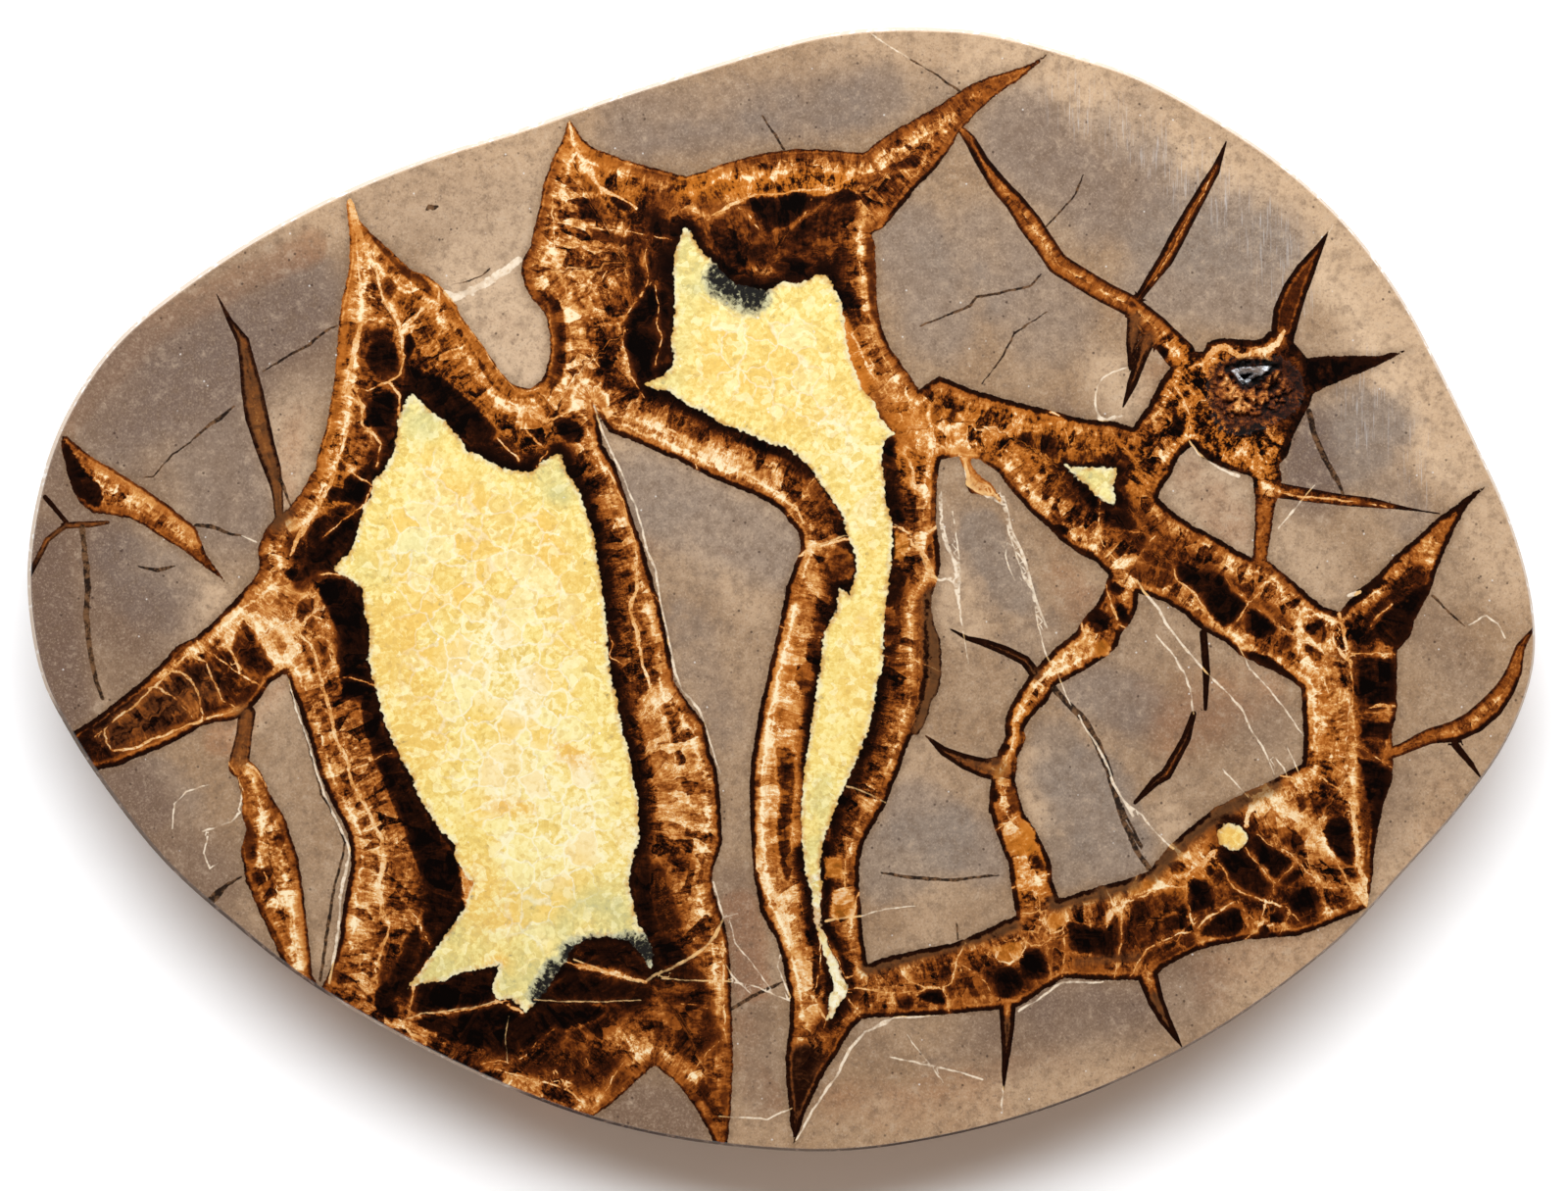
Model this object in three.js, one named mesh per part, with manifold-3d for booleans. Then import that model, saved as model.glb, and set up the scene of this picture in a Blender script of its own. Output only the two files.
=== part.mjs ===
// A polished slab sawn through a septarian nodule, lying on its sawn back.
//
// Millimetres, +Z up. The origin is the middle of the slab's footprint, on its flat back face.
// +X runs along the slab's length and +Y across its width.

import * as THREE from 'three';
import { mergeVertices } from 'three/addons/utils/BufferGeometryUtils.js';
import Module from 'manifold-3d';

// Driving dimensions.
const THICKNESS = 9.5;

// The polished face's edge, counterclockwise from the left end. A smooth closed curve runs
// through the points.
const FACE_EDGE = [
  [-75.2, -8.1], [-72.2, -14.5], [-67.9, -21.0], [-62.5, -27.7], [-56.0, -33.6], [-47.5, -40.2],
  [-36.3, -46.6], [-25.0, -51.7], [-15.7, -54.7], [-5.6, -56.5], [5.5, -57.1], [15.7, -55.8],
  [25.9, -53.2], [36.1, -49.2], [46.3, -43.6], [56.5, -35.9], [62.9, -29.2], [69.4, -21.8],
  [74.0, -15.1], [76.5, -8.0], [76.3, -0.9], [74.1, 7.0], [70.9, 14.2], [67.3, 21.6], [63.2, 29.3],
  [57.9, 36.5], [51.4, 42.6], [44.3, 47.5], [36.4, 51.8], [28.6, 54.4], [20.9, 56.3], [13.4, 56.8],
  [6.5, 56.4], [0.4, 55.1], [-8.6, 52.4], [-17.6, 49.5], [-26.6, 46.4], [-35.5, 43.6], [-44.1, 40.2],
  [-52.6, 35.8], [-60.7, 30.5], [-67.5, 24.8], [-72.4, 17.7], [-75.2, 10.0], [-76.4, 1.0],
];
const EDGE_STEPS = 180;

// The ground rim around the face: how far it stands out beyond the face edge, and how that
// changes around the slab. It is widest on the side that faces RIM_WIDEST_TOWARDS.
const RIM_OUT_MEAN = 0.66;
const RIM_OUT_CHANGE = 0.2;
const RIM_WIDEST_TOWARDS = THREE.MathUtils.degToRad(140);

// Side-wall profile from the face down: share of the thickness, and share of the rim's stand-out.
const SIDE_PROFILE = [
  { height: 1.0, out: 0.0 },
  { height: 0.93, out: 0.72 },
  { height: 0.62, out: 1.0 },
  { height: 0.3, out: 0.9 },
  { height: 0.06, out: 0.35 },
  { height: 0.0, out: -0.4 },
];

// The crystal-lined pocket that goes right through the slab: outlines at the face, where it
// closes in, and at the back.
const POCKET_MOUTH = [
  [44.0, 22.6], [45.6, 23.4], [47.4, 23.7], [49.4, 23.7], [51.4, 23.3], [53.0, 22.0], [53.4, 20.2],
  [52.9, 18.7], [51.8, 17.6], [50.3, 17.0], [48.7, 16.2], [46.8, 15.6], [45.2, 16.1], [44.2, 17.4],
  [43.6, 19.1], [43.5, 20.9],
];
const POCKET_THROAT = { x: 47.9, y: 21.85, length: 4.2, width: 2.2, turn: THREE.MathUtils.degToRad(6) };
const POCKET_BACK = { x: 47.7, y: 21.6, length: 6.4, width: 4.4, turn: THREE.MathUtils.degToRad(20) };
const THROAT_HEIGHT = 4.6;
const CORNER_SWELL = 0.16;
const CUT_PAST_FACES = 1;

const STONE_COLOUR = 0x8c7d70;

/** The points of a smooth closed curve through the given [x, y] points. */
function smoothLoop(points, steps) {
  const knots = points.map(([x, y]) => new THREE.Vector3(x, y, 0));
  const curve = new THREE.CatmullRomCurve3(knots, true, 'catmullrom', 0.5);
  return curve.getPoints(steps).slice(0, steps).map((p) => new THREE.Vector2(p.x, p.y));
}

/** The outward unit normal of a counterclockwise loop at one of its points. */
function outwardNormal(loop, index) {
  const before = loop[(index + loop.length - 1) % loop.length];
  const after = loop[(index + 1) % loop.length];
  const along = after.clone().sub(before).normalize();
  return new THREE.Vector2(along.y, -along.x);
}

/** A closed mesh through a stack of rings, lowest first, each with the same number of points. */
function stackRings(rings) {
  const count = rings[0].length;
  const positions = rings.flat().flatMap((p) => [p.x, p.y, p.z]);
  const triangles = [];
  for (let level = 0; level + 1 < rings.length; level += 1) {
    for (let i = 0; i < count; i += 1) {
      const next = (i + 1) % count;
      const low = level * count;
      const high = low + count;
      triangles.push(low + i, low + next, high + next, low + i, high + next, high + i);
    }
  }
  const top = (rings.length - 1) * count;
  const flat = (ring) => ring.map((p) => new THREE.Vector2(p.x, p.y));
  const lidOf = (ring) => THREE.ShapeUtils.triangulateShape(flat(ring), []);
  for (const [a, b, c] of lidOf(rings[0])) triangles.push(a, c, b);
  for (const [a, b, c] of lidOf(rings[rings.length - 1])) triangles.push(top + a, top + b, top + c);
  const geometry = new THREE.BufferGeometry();
  geometry.setAttribute('position', new THREE.Float32BufferAttribute(positions, 3));
  geometry.setIndex(triangles);
  return geometry;
}

/** The slab without its pocket: the face edge, and rings that follow it down the side wall. */
function slabBlank() {
  const edge = smoothLoop(FACE_EDGE, EDGE_STEPS);
  const ringAt = ({ height, out }) => edge.map((point, i) => {
    const normal = outwardNormal(edge, i);
    const rim = RIM_OUT_MEAN + RIM_OUT_CHANGE * Math.cos(normal.angle() - RIM_WIDEST_TOWARDS);
    const moved = point.clone().addScaledVector(normal, rim * out);
    return new THREE.Vector3(moved.x, moved.y, height * THICKNESS);
  });
  return stackRings([...SIDE_PROFILE].reverse().map(ringAt));
}

/** A rounded three-cornered ring, as the pocket's narrow part has. */
function threeCorneredRing({ x, y, length, width, turn }, z, count) {
  const ring = [];
  for (let i = 0; i < count; i += 1) {
    const angle = (i / count) * 2 * Math.PI + Math.PI - turn;
    const swell = 1 + CORNER_SWELL * Math.cos(3 * (angle - Math.PI / 2));
    const along = 0.5 * length * swell * Math.cos(angle);
    const across = 0.5 * width * swell * Math.sin(angle);
    ring.push(new THREE.Vector3(
      x + along * Math.cos(turn) - across * Math.sin(turn),
      y + along * Math.sin(turn) + across * Math.cos(turn),
      z,
    ));
  }
  return ring;
}

/** The hollow that is taken out of the slab for the pocket. */
function pocketHollow() {
  const mouth = POCKET_MOUTH.map(([x, y]) => new THREE.Vector2(x, y));
  if (THREE.ShapeUtils.isClockWise(mouth)) mouth.reverse();
  const count = mouth.length;
  const throat = threeCorneredRing(POCKET_THROAT, THROAT_HEIGHT, count);
  const startAngle = Math.atan2(throat[0].y - POCKET_THROAT.y, throat[0].x - POCKET_THROAT.x);
  const angleFromStart = (p) => {
    const turn = Math.atan2(p.y - POCKET_THROAT.y, p.x - POCKET_THROAT.x) - startAngle;
    return Math.abs(Math.atan2(Math.sin(turn), Math.cos(turn)));
  };
  const first = mouth.reduce((best, p, i) => (angleFromStart(p) < angleFromStart(mouth[best]) ? i : best), 0);
  const turned = mouth.slice(first).concat(mouth.slice(0, first));
  const mouthAt = (z) => turned.map((p) => new THREE.Vector3(p.x, p.y, z));
  return stackRings([
    threeCorneredRing(POCKET_BACK, -CUT_PAST_FACES, count),
    threeCorneredRing(POCKET_BACK, 0, count),
    throat,
    mouthAt(THICKNESS),
    mouthAt(THICKNESS + CUT_PAST_FACES),
  ]);
}

/** A three.js geometry as a manifold solid. */
function toSolid(wasm, geometry) {
  const merged = mergeVertices(geometry);
  return new wasm.Manifold(new wasm.Mesh({
    numProp: 3,
    vertProperties: new Float32Array(merged.getAttribute('position').array),
    triVerts: new Uint32Array(merged.getIndex().array),
  }));
}

/** A manifold solid as a three.js geometry. */
function toGeometry(solid) {
  const mesh = solid.getMesh();
  const geometry = new THREE.BufferGeometry();
  geometry.setAttribute('position', new THREE.BufferAttribute(new Float32Array(mesh.vertProperties), 3));
  geometry.setIndex(new THREE.BufferAttribute(new Uint32Array(mesh.triVerts), 1));
  geometry.computeVertexNormals();
  return geometry;
}

const wasm = await Module();
wasm.setup();

const slab = new THREE.Mesh(
  toGeometry(toSolid(wasm, slabBlank()).subtract(toSolid(wasm, pocketHollow()))),
  new THREE.MeshStandardMaterial({ color: STONE_COLOUR, roughness: 0.3, metalness: 0 }),
);
slab.name = 'septarian_slab';

const part = new THREE.Group();
part.add(slab);

export default part;
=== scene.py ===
"""A polished slab sawn through a septarian nodule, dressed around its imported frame.

Outlines on the polished face are written in tenths of a millimetre, x to the right and y down
from a corner beyond the slab's top left, and place() turns them into the frame's metres.
"""
import math

import bpy
import numpy as np
from mathutils.geometry import delaunay_2d_cdt
from mathutils.kdtree import KDTree
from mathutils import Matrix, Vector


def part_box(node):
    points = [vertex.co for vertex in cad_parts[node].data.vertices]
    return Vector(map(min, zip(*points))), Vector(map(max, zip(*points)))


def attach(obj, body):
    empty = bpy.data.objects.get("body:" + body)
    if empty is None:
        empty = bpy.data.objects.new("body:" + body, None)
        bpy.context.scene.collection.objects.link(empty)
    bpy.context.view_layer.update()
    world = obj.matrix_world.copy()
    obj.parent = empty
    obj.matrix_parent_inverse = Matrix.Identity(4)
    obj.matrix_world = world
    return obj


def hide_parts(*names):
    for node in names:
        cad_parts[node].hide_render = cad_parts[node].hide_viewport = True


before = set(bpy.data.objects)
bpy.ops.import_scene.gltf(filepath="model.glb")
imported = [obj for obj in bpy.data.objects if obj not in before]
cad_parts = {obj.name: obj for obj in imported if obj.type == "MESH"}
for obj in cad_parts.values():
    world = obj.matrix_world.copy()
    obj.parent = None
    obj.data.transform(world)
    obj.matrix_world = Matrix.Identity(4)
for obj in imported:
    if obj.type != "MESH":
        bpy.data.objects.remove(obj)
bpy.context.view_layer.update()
SLAB = "septarian_slab"
SLAB_LOW, SLAB_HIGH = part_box(SLAB)
THICKNESS = SLAB_HIGH.z

MM = 0.001
TENTH = 0.1 * MM
SLAB_CENTRE = (796.7, 600.5)

# Grey-brown rock. Each piece is bounded by its walls against the veins, and runs on past the slab.
ROCK = {
    "left": [
        (356, 199), (353, 211), (356, 233), (357, 261), (354, 284), (348, 310), (344, 356), (342, 382),
        (334, 433), (324, 464), (322, 477), (305, 505), (294, 519), (280, 528), (270, 542), (263, 560),
        (265, 580), (256, 594), (240, 612), (225, 626), (210, 641), (197, 651), (179, 660), (164, 677),
        (146, 694), (128, 708), (110, 723), (92, 736), (75, 746), (40, 770), (-150, 900), (-150, -100),
        (356, -100),
    ],
    "lower_left": [
        (60, 805), (99, 786), (123, 781), (140, 773), (164, 764), (184, 754), (205, 741), (223, 736),
        (238, 735), (251, 729), (261, 718), (271, 704), (276, 696), (292, 687), (297, 703), (305, 723),
        (319, 764), (325, 787), (333, 808), (343, 828), (353, 846), (357, 861), (358, 882), (352, 915),
        (348, 940), (346, 960), (341, 980), (331, 1002), (310, 1050), (200, 1400), (-150, 1400),
        (-150, 900),
    ],
    "bay": [
        (356, 199), (361, 207), (367, 225), (379, 238), (405, 261), (419, 276), (436, 281), (446, 289),
        (454, 297), (465, 310), (471, 323), (484, 341), (497, 359), (510, 379), (520, 390), (529, 395),
        (541, 396), (551, 389), (557, 379), (561, 361), (561, 343), (558, 325), (551, 313), (542, 305),
        (536, 292), (532, 279), (533, 266), (541, 251), (546, 230), (551, 207), (556, 184), (564, 161),
        (574, 143), (580, 120), (580, -100), (356, -100),
    ],
    "top": [
        (580, 120), (587, 130), (595, 143), (610, 153), (641, 164), (677, 174), (700, 180), (718, 175),
        (738, 167), (759, 161), (779, 156), (810, 152), (851, 153), (881, 156), (890, 149), (903, 139),
        (918, 130), (938, 119), (959, 107), (985, 89), (1005, 80), (1041, 69), (1054, 64), (1072, 53),
        (1085, -100), (580, -100),
    ],
    "right": [
        (1072, 53), (1054, 70), (1038, 83), (1020, 94), (1005, 107), (995, 117), (979, 135), (967, 156),
        (954, 173), (938, 189), (923, 207), (910, 223), (900, 233), (890, 238), (893, 251), (894, 289),
        (895, 310), (900, 336), (908, 354), (920, 371), (931, 387), (938, 398), (946, 392), (958, 383),
        (977, 391), (1000, 400), (1026, 407), (1056, 415), (1082, 421), (1103, 427), (1138, 430),
        (1156, 436), (1172, 413), (1185, 387), (1196, 372), (1216, 359), (1228, 358), (1232, 350),
        (1241, 345), (1257, 345), (1275, 347), (1287, 346), (1295, 338), (1322, 336), (1320, 350),
        (1334, 365), (1357, 363), (1408, 363), (1439, 356), (1410, 371), (1380, 384), (1354, 395),
        (1341, 402), (1336, 413), (1326, 432), (1318, 450), (1314, 464), (1305, 474), (1308, 487),
        (1299, 528), (1294, 561), (1293, 571), (1313, 587), (1334, 606), (1351, 619), (1367, 624),
        (1385, 602), (1403, 589), (1421, 569), (1446, 548), (1469, 527), (1505, 501), (1518, 495),
        (1750, 440), (1750, -100), (1085, -100),
    ],
    "far_right": [
        (1518, 495), (1498, 515), (1485, 538), (1475, 561), (1467, 579), (1459, 605), (1446, 628),
        (1439, 649), (1426, 664), (1425, 728), (1421, 744), (1421, 795), (1413, 818), (1408, 838),
        (1403, 864), (1400, 899), (1395, 926), (1450, 1000), (1750, 1100), (1750, 440),
    ],
    "bottom_right": [
        (1395, 926), (1382, 933), (1350, 946), (1325, 954), (1269, 959), (1223, 969), (1188, 987),
        (1180, 996), (1162, 1000), (1126, 1000), (1086, 998), (1065, 1010), (1040, 1027), (1019, 1030),
        (953, 1036), (880, 1039), (868, 1052), (858, 1068), (836, 1105), (822, 1135), (810, 1168),
        (805, 1350), (1500, 1350), (1450, 1000),
    ],
    "centre": [
        (605, 410), (613, 436), (615, 454), (628, 474), (638, 505), (648, 536), (656, 556), (666, 592),
        (674, 618), (684, 664), (688, 697), (707, 723), (719, 738), (724, 764), (732, 785), (736, 831),
        (737, 859), (728, 885), (726, 899), (733, 925), (742, 950), (745, 980), (747, 1030),
        (748, 1092), (745, 1140), (743, 1162), (743, 1350), (805, 1350), (810, 1168), (806, 1140),
        (802, 1100), (801, 1080), (805, 1050), (806, 1020), (797, 975), (790, 955), (776, 930),
        (770, 899), (768, 872), (765, 840), (765, 795), (769, 759), (774, 728), (787, 672), (795, 638),
        (802, 600), (817, 560), (815, 543), (804, 530), (795, 519), (769, 505), (743, 495), (718, 484),
        (692, 470), (666, 459), (641, 448), (620, 440),
    ],
    "foot": [
        (668, 1087), (685, 1100), (700, 1116), (712, 1135), (725, 1158), (740, 1200), (740, 1350),
        (540, 1350), (585, 1160), (606, 1138), (622, 1128), (640, 1112), (660, 1093),
    ],
    "middle": [
        (960, 469), (979, 465), (1000, 469), (1018, 482), (1031, 500), (1049, 520), (1067, 536),
        (1082, 551), (1103, 566), (1120, 574), (1131, 587), (1128, 600), (1118, 618), (1106, 631),
        (1097, 646), (1079, 659), (1064, 674), (1051, 687), (1041, 703), (1031, 720), (1026, 733),
        (1026, 751), (1018, 767), (1010, 803), (1009, 826), (1015, 846), (1023, 867), (1029, 882),
        (1031, 899), (1037, 934), (1020, 941), (1000, 951), (977, 961), (940, 968), (900, 977),
        (885, 983), (880, 950), (877, 905), (877, 879), (882, 859), (892, 841), (903, 823), (910, 805),
        (918, 785), (931, 749), (940, 718), (942, 651), (941, 615), (954, 600), (960, 577), (959, 556),
        (955, 536), (956, 489),
    ],
    "inner_right": [
        (1161, 605), (1190, 615), (1210, 628), (1228, 644), (1249, 654), (1264, 667), (1282, 677),
        (1300, 685), (1318, 694), (1328, 703), (1330, 764), (1328, 779), (1300, 795), (1267, 810),
        (1241, 823), (1223, 837), (1205, 851), (1190, 867), (1172, 888), (1150, 897), (1115, 906),
        (1081, 917), (1074, 899), (1073, 882), (1067, 867), (1056, 846), (1046, 831), (1040, 815),
        (1036, 795), (1038, 774), (1046, 756), (1045, 744), (1054, 731), (1069, 715), (1077, 700),
        (1105, 685), (1123, 674), (1141, 659), (1145, 644), (1155, 633), (1161, 620),
    ],
    "small": [
        (1216, 455), (1226, 466), (1241, 474), (1257, 480), (1278, 487), (1281, 510), (1280, 541),
        (1278, 569), (1262, 561), (1241, 548), (1221, 538), (1200, 525), (1187, 513), (1181, 508),
        (1185, 499), (1195, 484), (1205, 464),
    ],
}

# Wider veins that lie inside the rock pieces.
VEIN_LENSES = {
    "fan": [
        (978, 466), (988, 464), (991, 474), (998, 484), (1010, 492), (1020, 506), (1024, 516),
        (1015, 508), (1002, 505), (990, 503), (985, 494), (986, 484),
    ],
    "right_margin": [
        (954, 597), (951, 610), (950, 622), (954, 638), (959, 652), (961, 668), (961, 690), (957, 706),
        (950, 716), (947, 730), (942, 742), (936, 750), (929, 750), (934, 715), (936, 650), (936, 612),
    ],
    "left_edge": [
        (64, 442), (79, 454), (97, 469), (115, 478), (133, 489), (151, 501), (171, 515), (187, 528),
        (199, 538), (206, 554), (210, 566), (233, 596), (207, 577), (184, 559), (164, 548), (148, 536),
        (130, 528), (110, 525), (94, 523), (81, 513), (71, 492), (66, 471), (62, 454),
    ],
    "lower_left": [
        (244, 770), (233, 777), (243, 795), (247, 813), (247, 831), (251, 846), (246, 867), (251, 899),
        (262, 924), (272, 946), (281, 964), (287, 980), (300, 1015), (335, 1030), (319, 995),
        (315, 960), (312, 930), (308, 899), (305, 877), (298, 856), (292, 838), (284, 823), (274, 808),
        (266, 787), (255, 775),
    ],
}

# Pale yellow calcite that fills the middle of the veins.
CALCITE = {
    "left_body": [
        (420, 400), (430, 410), (441, 420), (454, 429), (463, 441), (471, 448), (477, 460), (489, 464),
        (498, 470), (513, 477), (525, 480), (541, 482), (550, 474), (559, 468), (571, 461), (579, 482),
        (593, 505), (598, 523), (605, 541), (611, 579), (618, 626), (621, 669), (624, 697), (630, 710),
        (632, 733), (642, 769), (645, 790), (651, 810), (652, 856), (645, 880), (641, 900), (646, 920),
        (650, 940), (661, 957), (667, 975), (665, 990), (655, 975), (640, 960), (620, 955), (600, 958),
        (585, 966), (575, 984), (562, 1003), (551, 1020), (536, 1033), (530, 1026), (520, 1019),
        (508, 1020), (501, 1010), (506, 995), (510, 984), (500, 988), (480, 990), (466, 994),
        (455, 1001), (430, 1003), (414, 1010), (420, 1000), (430, 990), (450, 960), (470, 932),
        (476, 920), (482, 900), (473, 890), (465, 877), (464, 861), (448, 846), (436, 826), (425, 810),
        (421, 792), (410, 779), (400, 754), (392, 736), (387, 718), (381, 695), (375, 672), (378, 646),
        (371, 620), (369, 600), (353, 588), (340, 584), (342, 577), (356, 564), (364, 546), (371, 515),
        (379, 505), (380, 489), (389, 484), (402, 461), (405, 438), (408, 420),
    ],
    "right_body": [
        (701, 230), (707, 243), (718, 258), (730, 269), (738, 279), (750, 290), (766, 292), (781, 297),
        (800, 287), (815, 290), (833, 280), (844, 281), (851, 294), (859, 307), (862, 330), (866, 360),
        (879, 395), (892, 410), (900, 428), (913, 443), (903, 450), (900, 469), (904, 510), (910, 530),
        (911, 551), (909, 579), (903, 633), (901, 677), (895, 703), (887, 744), (870, 785), (854, 820),
        (841, 856), (837, 880), (839, 905), (834, 925), (826, 905), (820, 882), (817, 841), (820, 790),
        (827, 744), (837, 682), (841, 644), (853, 623), (856, 600), (867, 607), (873, 585), (873, 566),
        (865, 548), (861, 528), (851, 513), (840, 497), (828, 479), (815, 466), (800, 455), (787, 454),
        (769, 445), (751, 437), (733, 432), (718, 419), (705, 416), (695, 409), (684, 400), (666, 397),
        (656, 392), (674, 384), (684, 376), (688, 365), (684, 351), (688, 330), (688, 297), (687, 276),
        (688, 258), (695, 238),
    ],
    "right_patch": [
        (1085, 473), (1103, 477), (1141, 477), (1136, 497), (1140, 515), (1126, 513), (1108, 495),
        (1095, 484),
    ],
}
# Strands of the same calcite: (x, y, half width).
CALCITE_STRANDS = {
    "tail": [
        (833, 895, 4), (833, 922, 4), (835, 945, 3), (841, 962, 4), (849, 982, 5), (856, 1000, 6),
        (858, 1010, 8), (851, 1022, 6), (848, 1035, 3), (842, 1041, 1),
    ],
    "right_spot": [(1255, 853, 13), (1260, 855, 13)],
}

# Narrow veins and filled cracks: (x, y, half width).
VEIN_STRANDS = {
    "upper_right": [
        (977, 128, 3), (990, 143, 6), (1003, 166, 7), (1018, 187, 9), (1036, 207, 10), (1051, 228, 12),
        (1067, 251, 11), (1079, 269, 11), (1103, 284, 11), (1128, 299, 11), (1154, 312, 11),
        (1180, 335, 13), (1204, 362, 16),
    ],
    "prong_short": [(1158, 325, 8), (1155, 350, 6), (1154, 374, 3)],
    "prong_long": [(1172, 345, 8), (1164, 366, 6), (1155, 392, 5), (1146, 415, 1)],
    "horn_up": [
        (1161, 305, 4), (1175, 285, 6), (1190, 264, 8), (1205, 235, 8), (1218, 212, 7), (1231, 189, 6),
        (1240, 174, 5), (1245, 161, 3), (1251, 145, 1),
    ],
    "horn_right": [
        (1310, 335, 13), (1313, 319, 14), (1321, 297, 13), (1332, 276, 10), (1344, 256, 5),
        (1355, 237, 1),
    ],
    "vug_branch": [
        (1303, 500, 8), (1334, 505, 7), (1369, 510, 6), (1400, 513, 5), (1436, 519, 1.5),
        (1469, 524, 0.6),
    ],
    "sliver": [
        (221, 300, 0.5), (235, 328, 3), (248, 348, 6.5), (252, 369, 8), (257, 397, 11), (262, 425, 12),
        (270, 454, 10.5), (278, 479, 9), (283, 500, 6), (285, 528, 4.5),
    ],
    "neck": [(252, 728, 9), (249, 750, 8), (245, 772, 10), (244, 782, 11)],
    "spike_g": [(1019, 784, 13), (1005, 784, 10), (985, 777, 8), (964, 767, 5), (944, 750, 0.8)],
    "spike_h": [
        (1056, 687, 6), (1046, 674, 5.5), (1026, 664, 5), (1005, 656, 4), (987, 651, 2.5),
        (970, 642, 0.8),
    ],
    "spike_k": [
        (1028, 1020, 9), (1028, 1045, 7.5), (1027, 1070, 5), (1025, 1092, 3), (1024, 1112, 0.6),
    ],
    "spike_l": [
        (1170, 992, 11), (1179, 1020, 8.5), (1189, 1041, 6), (1198, 1055, 3.5), (1206, 1068, 0.6),
    ],
    "branch_j": [
        (1420, 768, 6), (1431, 764, 6), (1459, 751, 8), (1485, 746, 11), (1505, 736, 12),
        (1523, 720, 12), (1536, 703, 10), (1545, 685, 8), (1551, 661, 5), (1562, 645, 2),
        (1575, 630, 2),
    ],
    "branch_j_spur": [(1485, 760, 4), (1500, 778, 3), (1513, 796, 0.6)],
    "inner_a": [(1228, 646, 4), (1231, 685, 4), (1230, 723, 2)],
    "inner_b": [(1218, 728, 3), (1210, 754, 5), (1190, 790, 6), (1179, 797, 5), (1158, 819, 2)],
    "edge_a": [(67, 536, 3.5), (90, 535, 3.5), (110, 533, 2)],
    "edge_b": [(46, 507, 2.5), (67, 532, 2.5)],
    "edge_c": [(64, 538, 3), (48, 551, 3), (37, 573, 3), (25, 595, 3)],
}
# Dark open or iron-stained cracks in the rock: (x, y, half width).
DARK_CRACKS = {
    "bay_line": [(460, 290, 0.4), (475, 288, 0.6), (490, 282, 0.8), (500, 274, 0.6)],
    "bay_mark": [(435, 214, 1.2), (438, 210, 2), (442, 212, 3), (446, 211, 1.4)],
    "diagonal_side": [(1145, 820, 0.8), (1150, 835, 1.2), (1158, 850, 1.4), (1165, 864, 1.4)],
    "edge_fall": [
        (84, 538, 3), (87, 566, 3), (90, 600, 3), (88, 626, 3), (90, 651, 2.5), (94, 674, 2.5),
        (98, 695, 2), (105, 713, 1.5),
    ],
    "inner_diagonal": [
        (1076, 703, 3), (1092, 720, 3), (1108, 736, 3.5), (1120, 759, 3.5), (1131, 785, 3.5),
        (1138, 810, 3), (1146, 838, 2.5), (1159, 867, 2.5), (1172, 885, 3),
    ],
    "vug_fall": [(1336, 420, 3), (1341, 443, 3), (1351, 466, 3), (1364, 489, 2.5), (1371, 505, 1)],
    "lens_tail": [(199, 536, 1.5), (215, 537, 2), (230, 543, 1.5), (247, 547, 1)],
    "lens_chip": [(140, 578, 0.8), (160, 582, 2.4), (179, 577, 0.8)],
    "sliver_side": [(286, 489, 2), (296, 515, 1)],
    "left_a": [(269, 379, 0.8), (294, 363, 1.4), (315, 352, 1.4), (333, 337, 1.4), (344, 332, 0.8)],
    "left_b": [
        (146, 488, 0.6), (156, 486, 0.8), (176, 464, 1), (194, 451, 0.8), (215, 433, 1.6),
        (226, 425, 2.2), (239, 414, 0.8),
    ],
    "top_a": [(928, 60, 0.7), (952, 74, 0.9), (979, 93, 1.2)],
    "right_a": [(1068, 231, 0.8), (1097, 199, 1), (1105, 179, 0.7)],
    "right_b": [
        (938, 333, 0.7), (972, 319, 1.3), (990, 312, 1.4), (997, 303, 1.2), (1020, 299, 1.4),
        (1051, 292, 1.2), (1063, 279, 0.8),
    ],
    "right_c": [(1002, 392, 0.7), (1022, 365, 1), (1035, 340, 1), (1068, 318, 0.7)],
    "middle_a": [
        (900, 890, 0.8), (915, 893, 1.6), (936, 896, 1.9), (974, 898, 1.6), (1000, 894, 1.2),
        (1020, 893, 0.7),
    ],
    "far_right_a": [(1462, 608, 1.4), (1477, 623, 1.2), (1495, 640, 0.7)],
    "top_b": [(778, 118, 0.7), (790, 136, 1.2), (800, 152, 1.2)],
    "centre_a": [(747, 1029, 1.6), (765, 1018, 1.8), (785, 1008, 1.6), (800, 1002, 0.8)],
    "lower_left_a": [(215, 919, 4), (222, 912, 3.5), (232, 903, 2), (246, 894, 0.8)],
    "left_lip": [
        (296, 705, 0.8), (310, 745, 1), (323, 790, 1), (328, 810, 1.2), (343, 836, 1.2),
        (352, 859, 1.3), (347, 885, 1.4), (341, 905, 1.4), (337, 930, 1.6), (333, 955, 1.6),
        (330, 980, 1.6), (327, 1000, 1.6),
    ],
    "middle_b": [(976, 942, 0.7), (978, 958, 0.9)],
}
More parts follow.
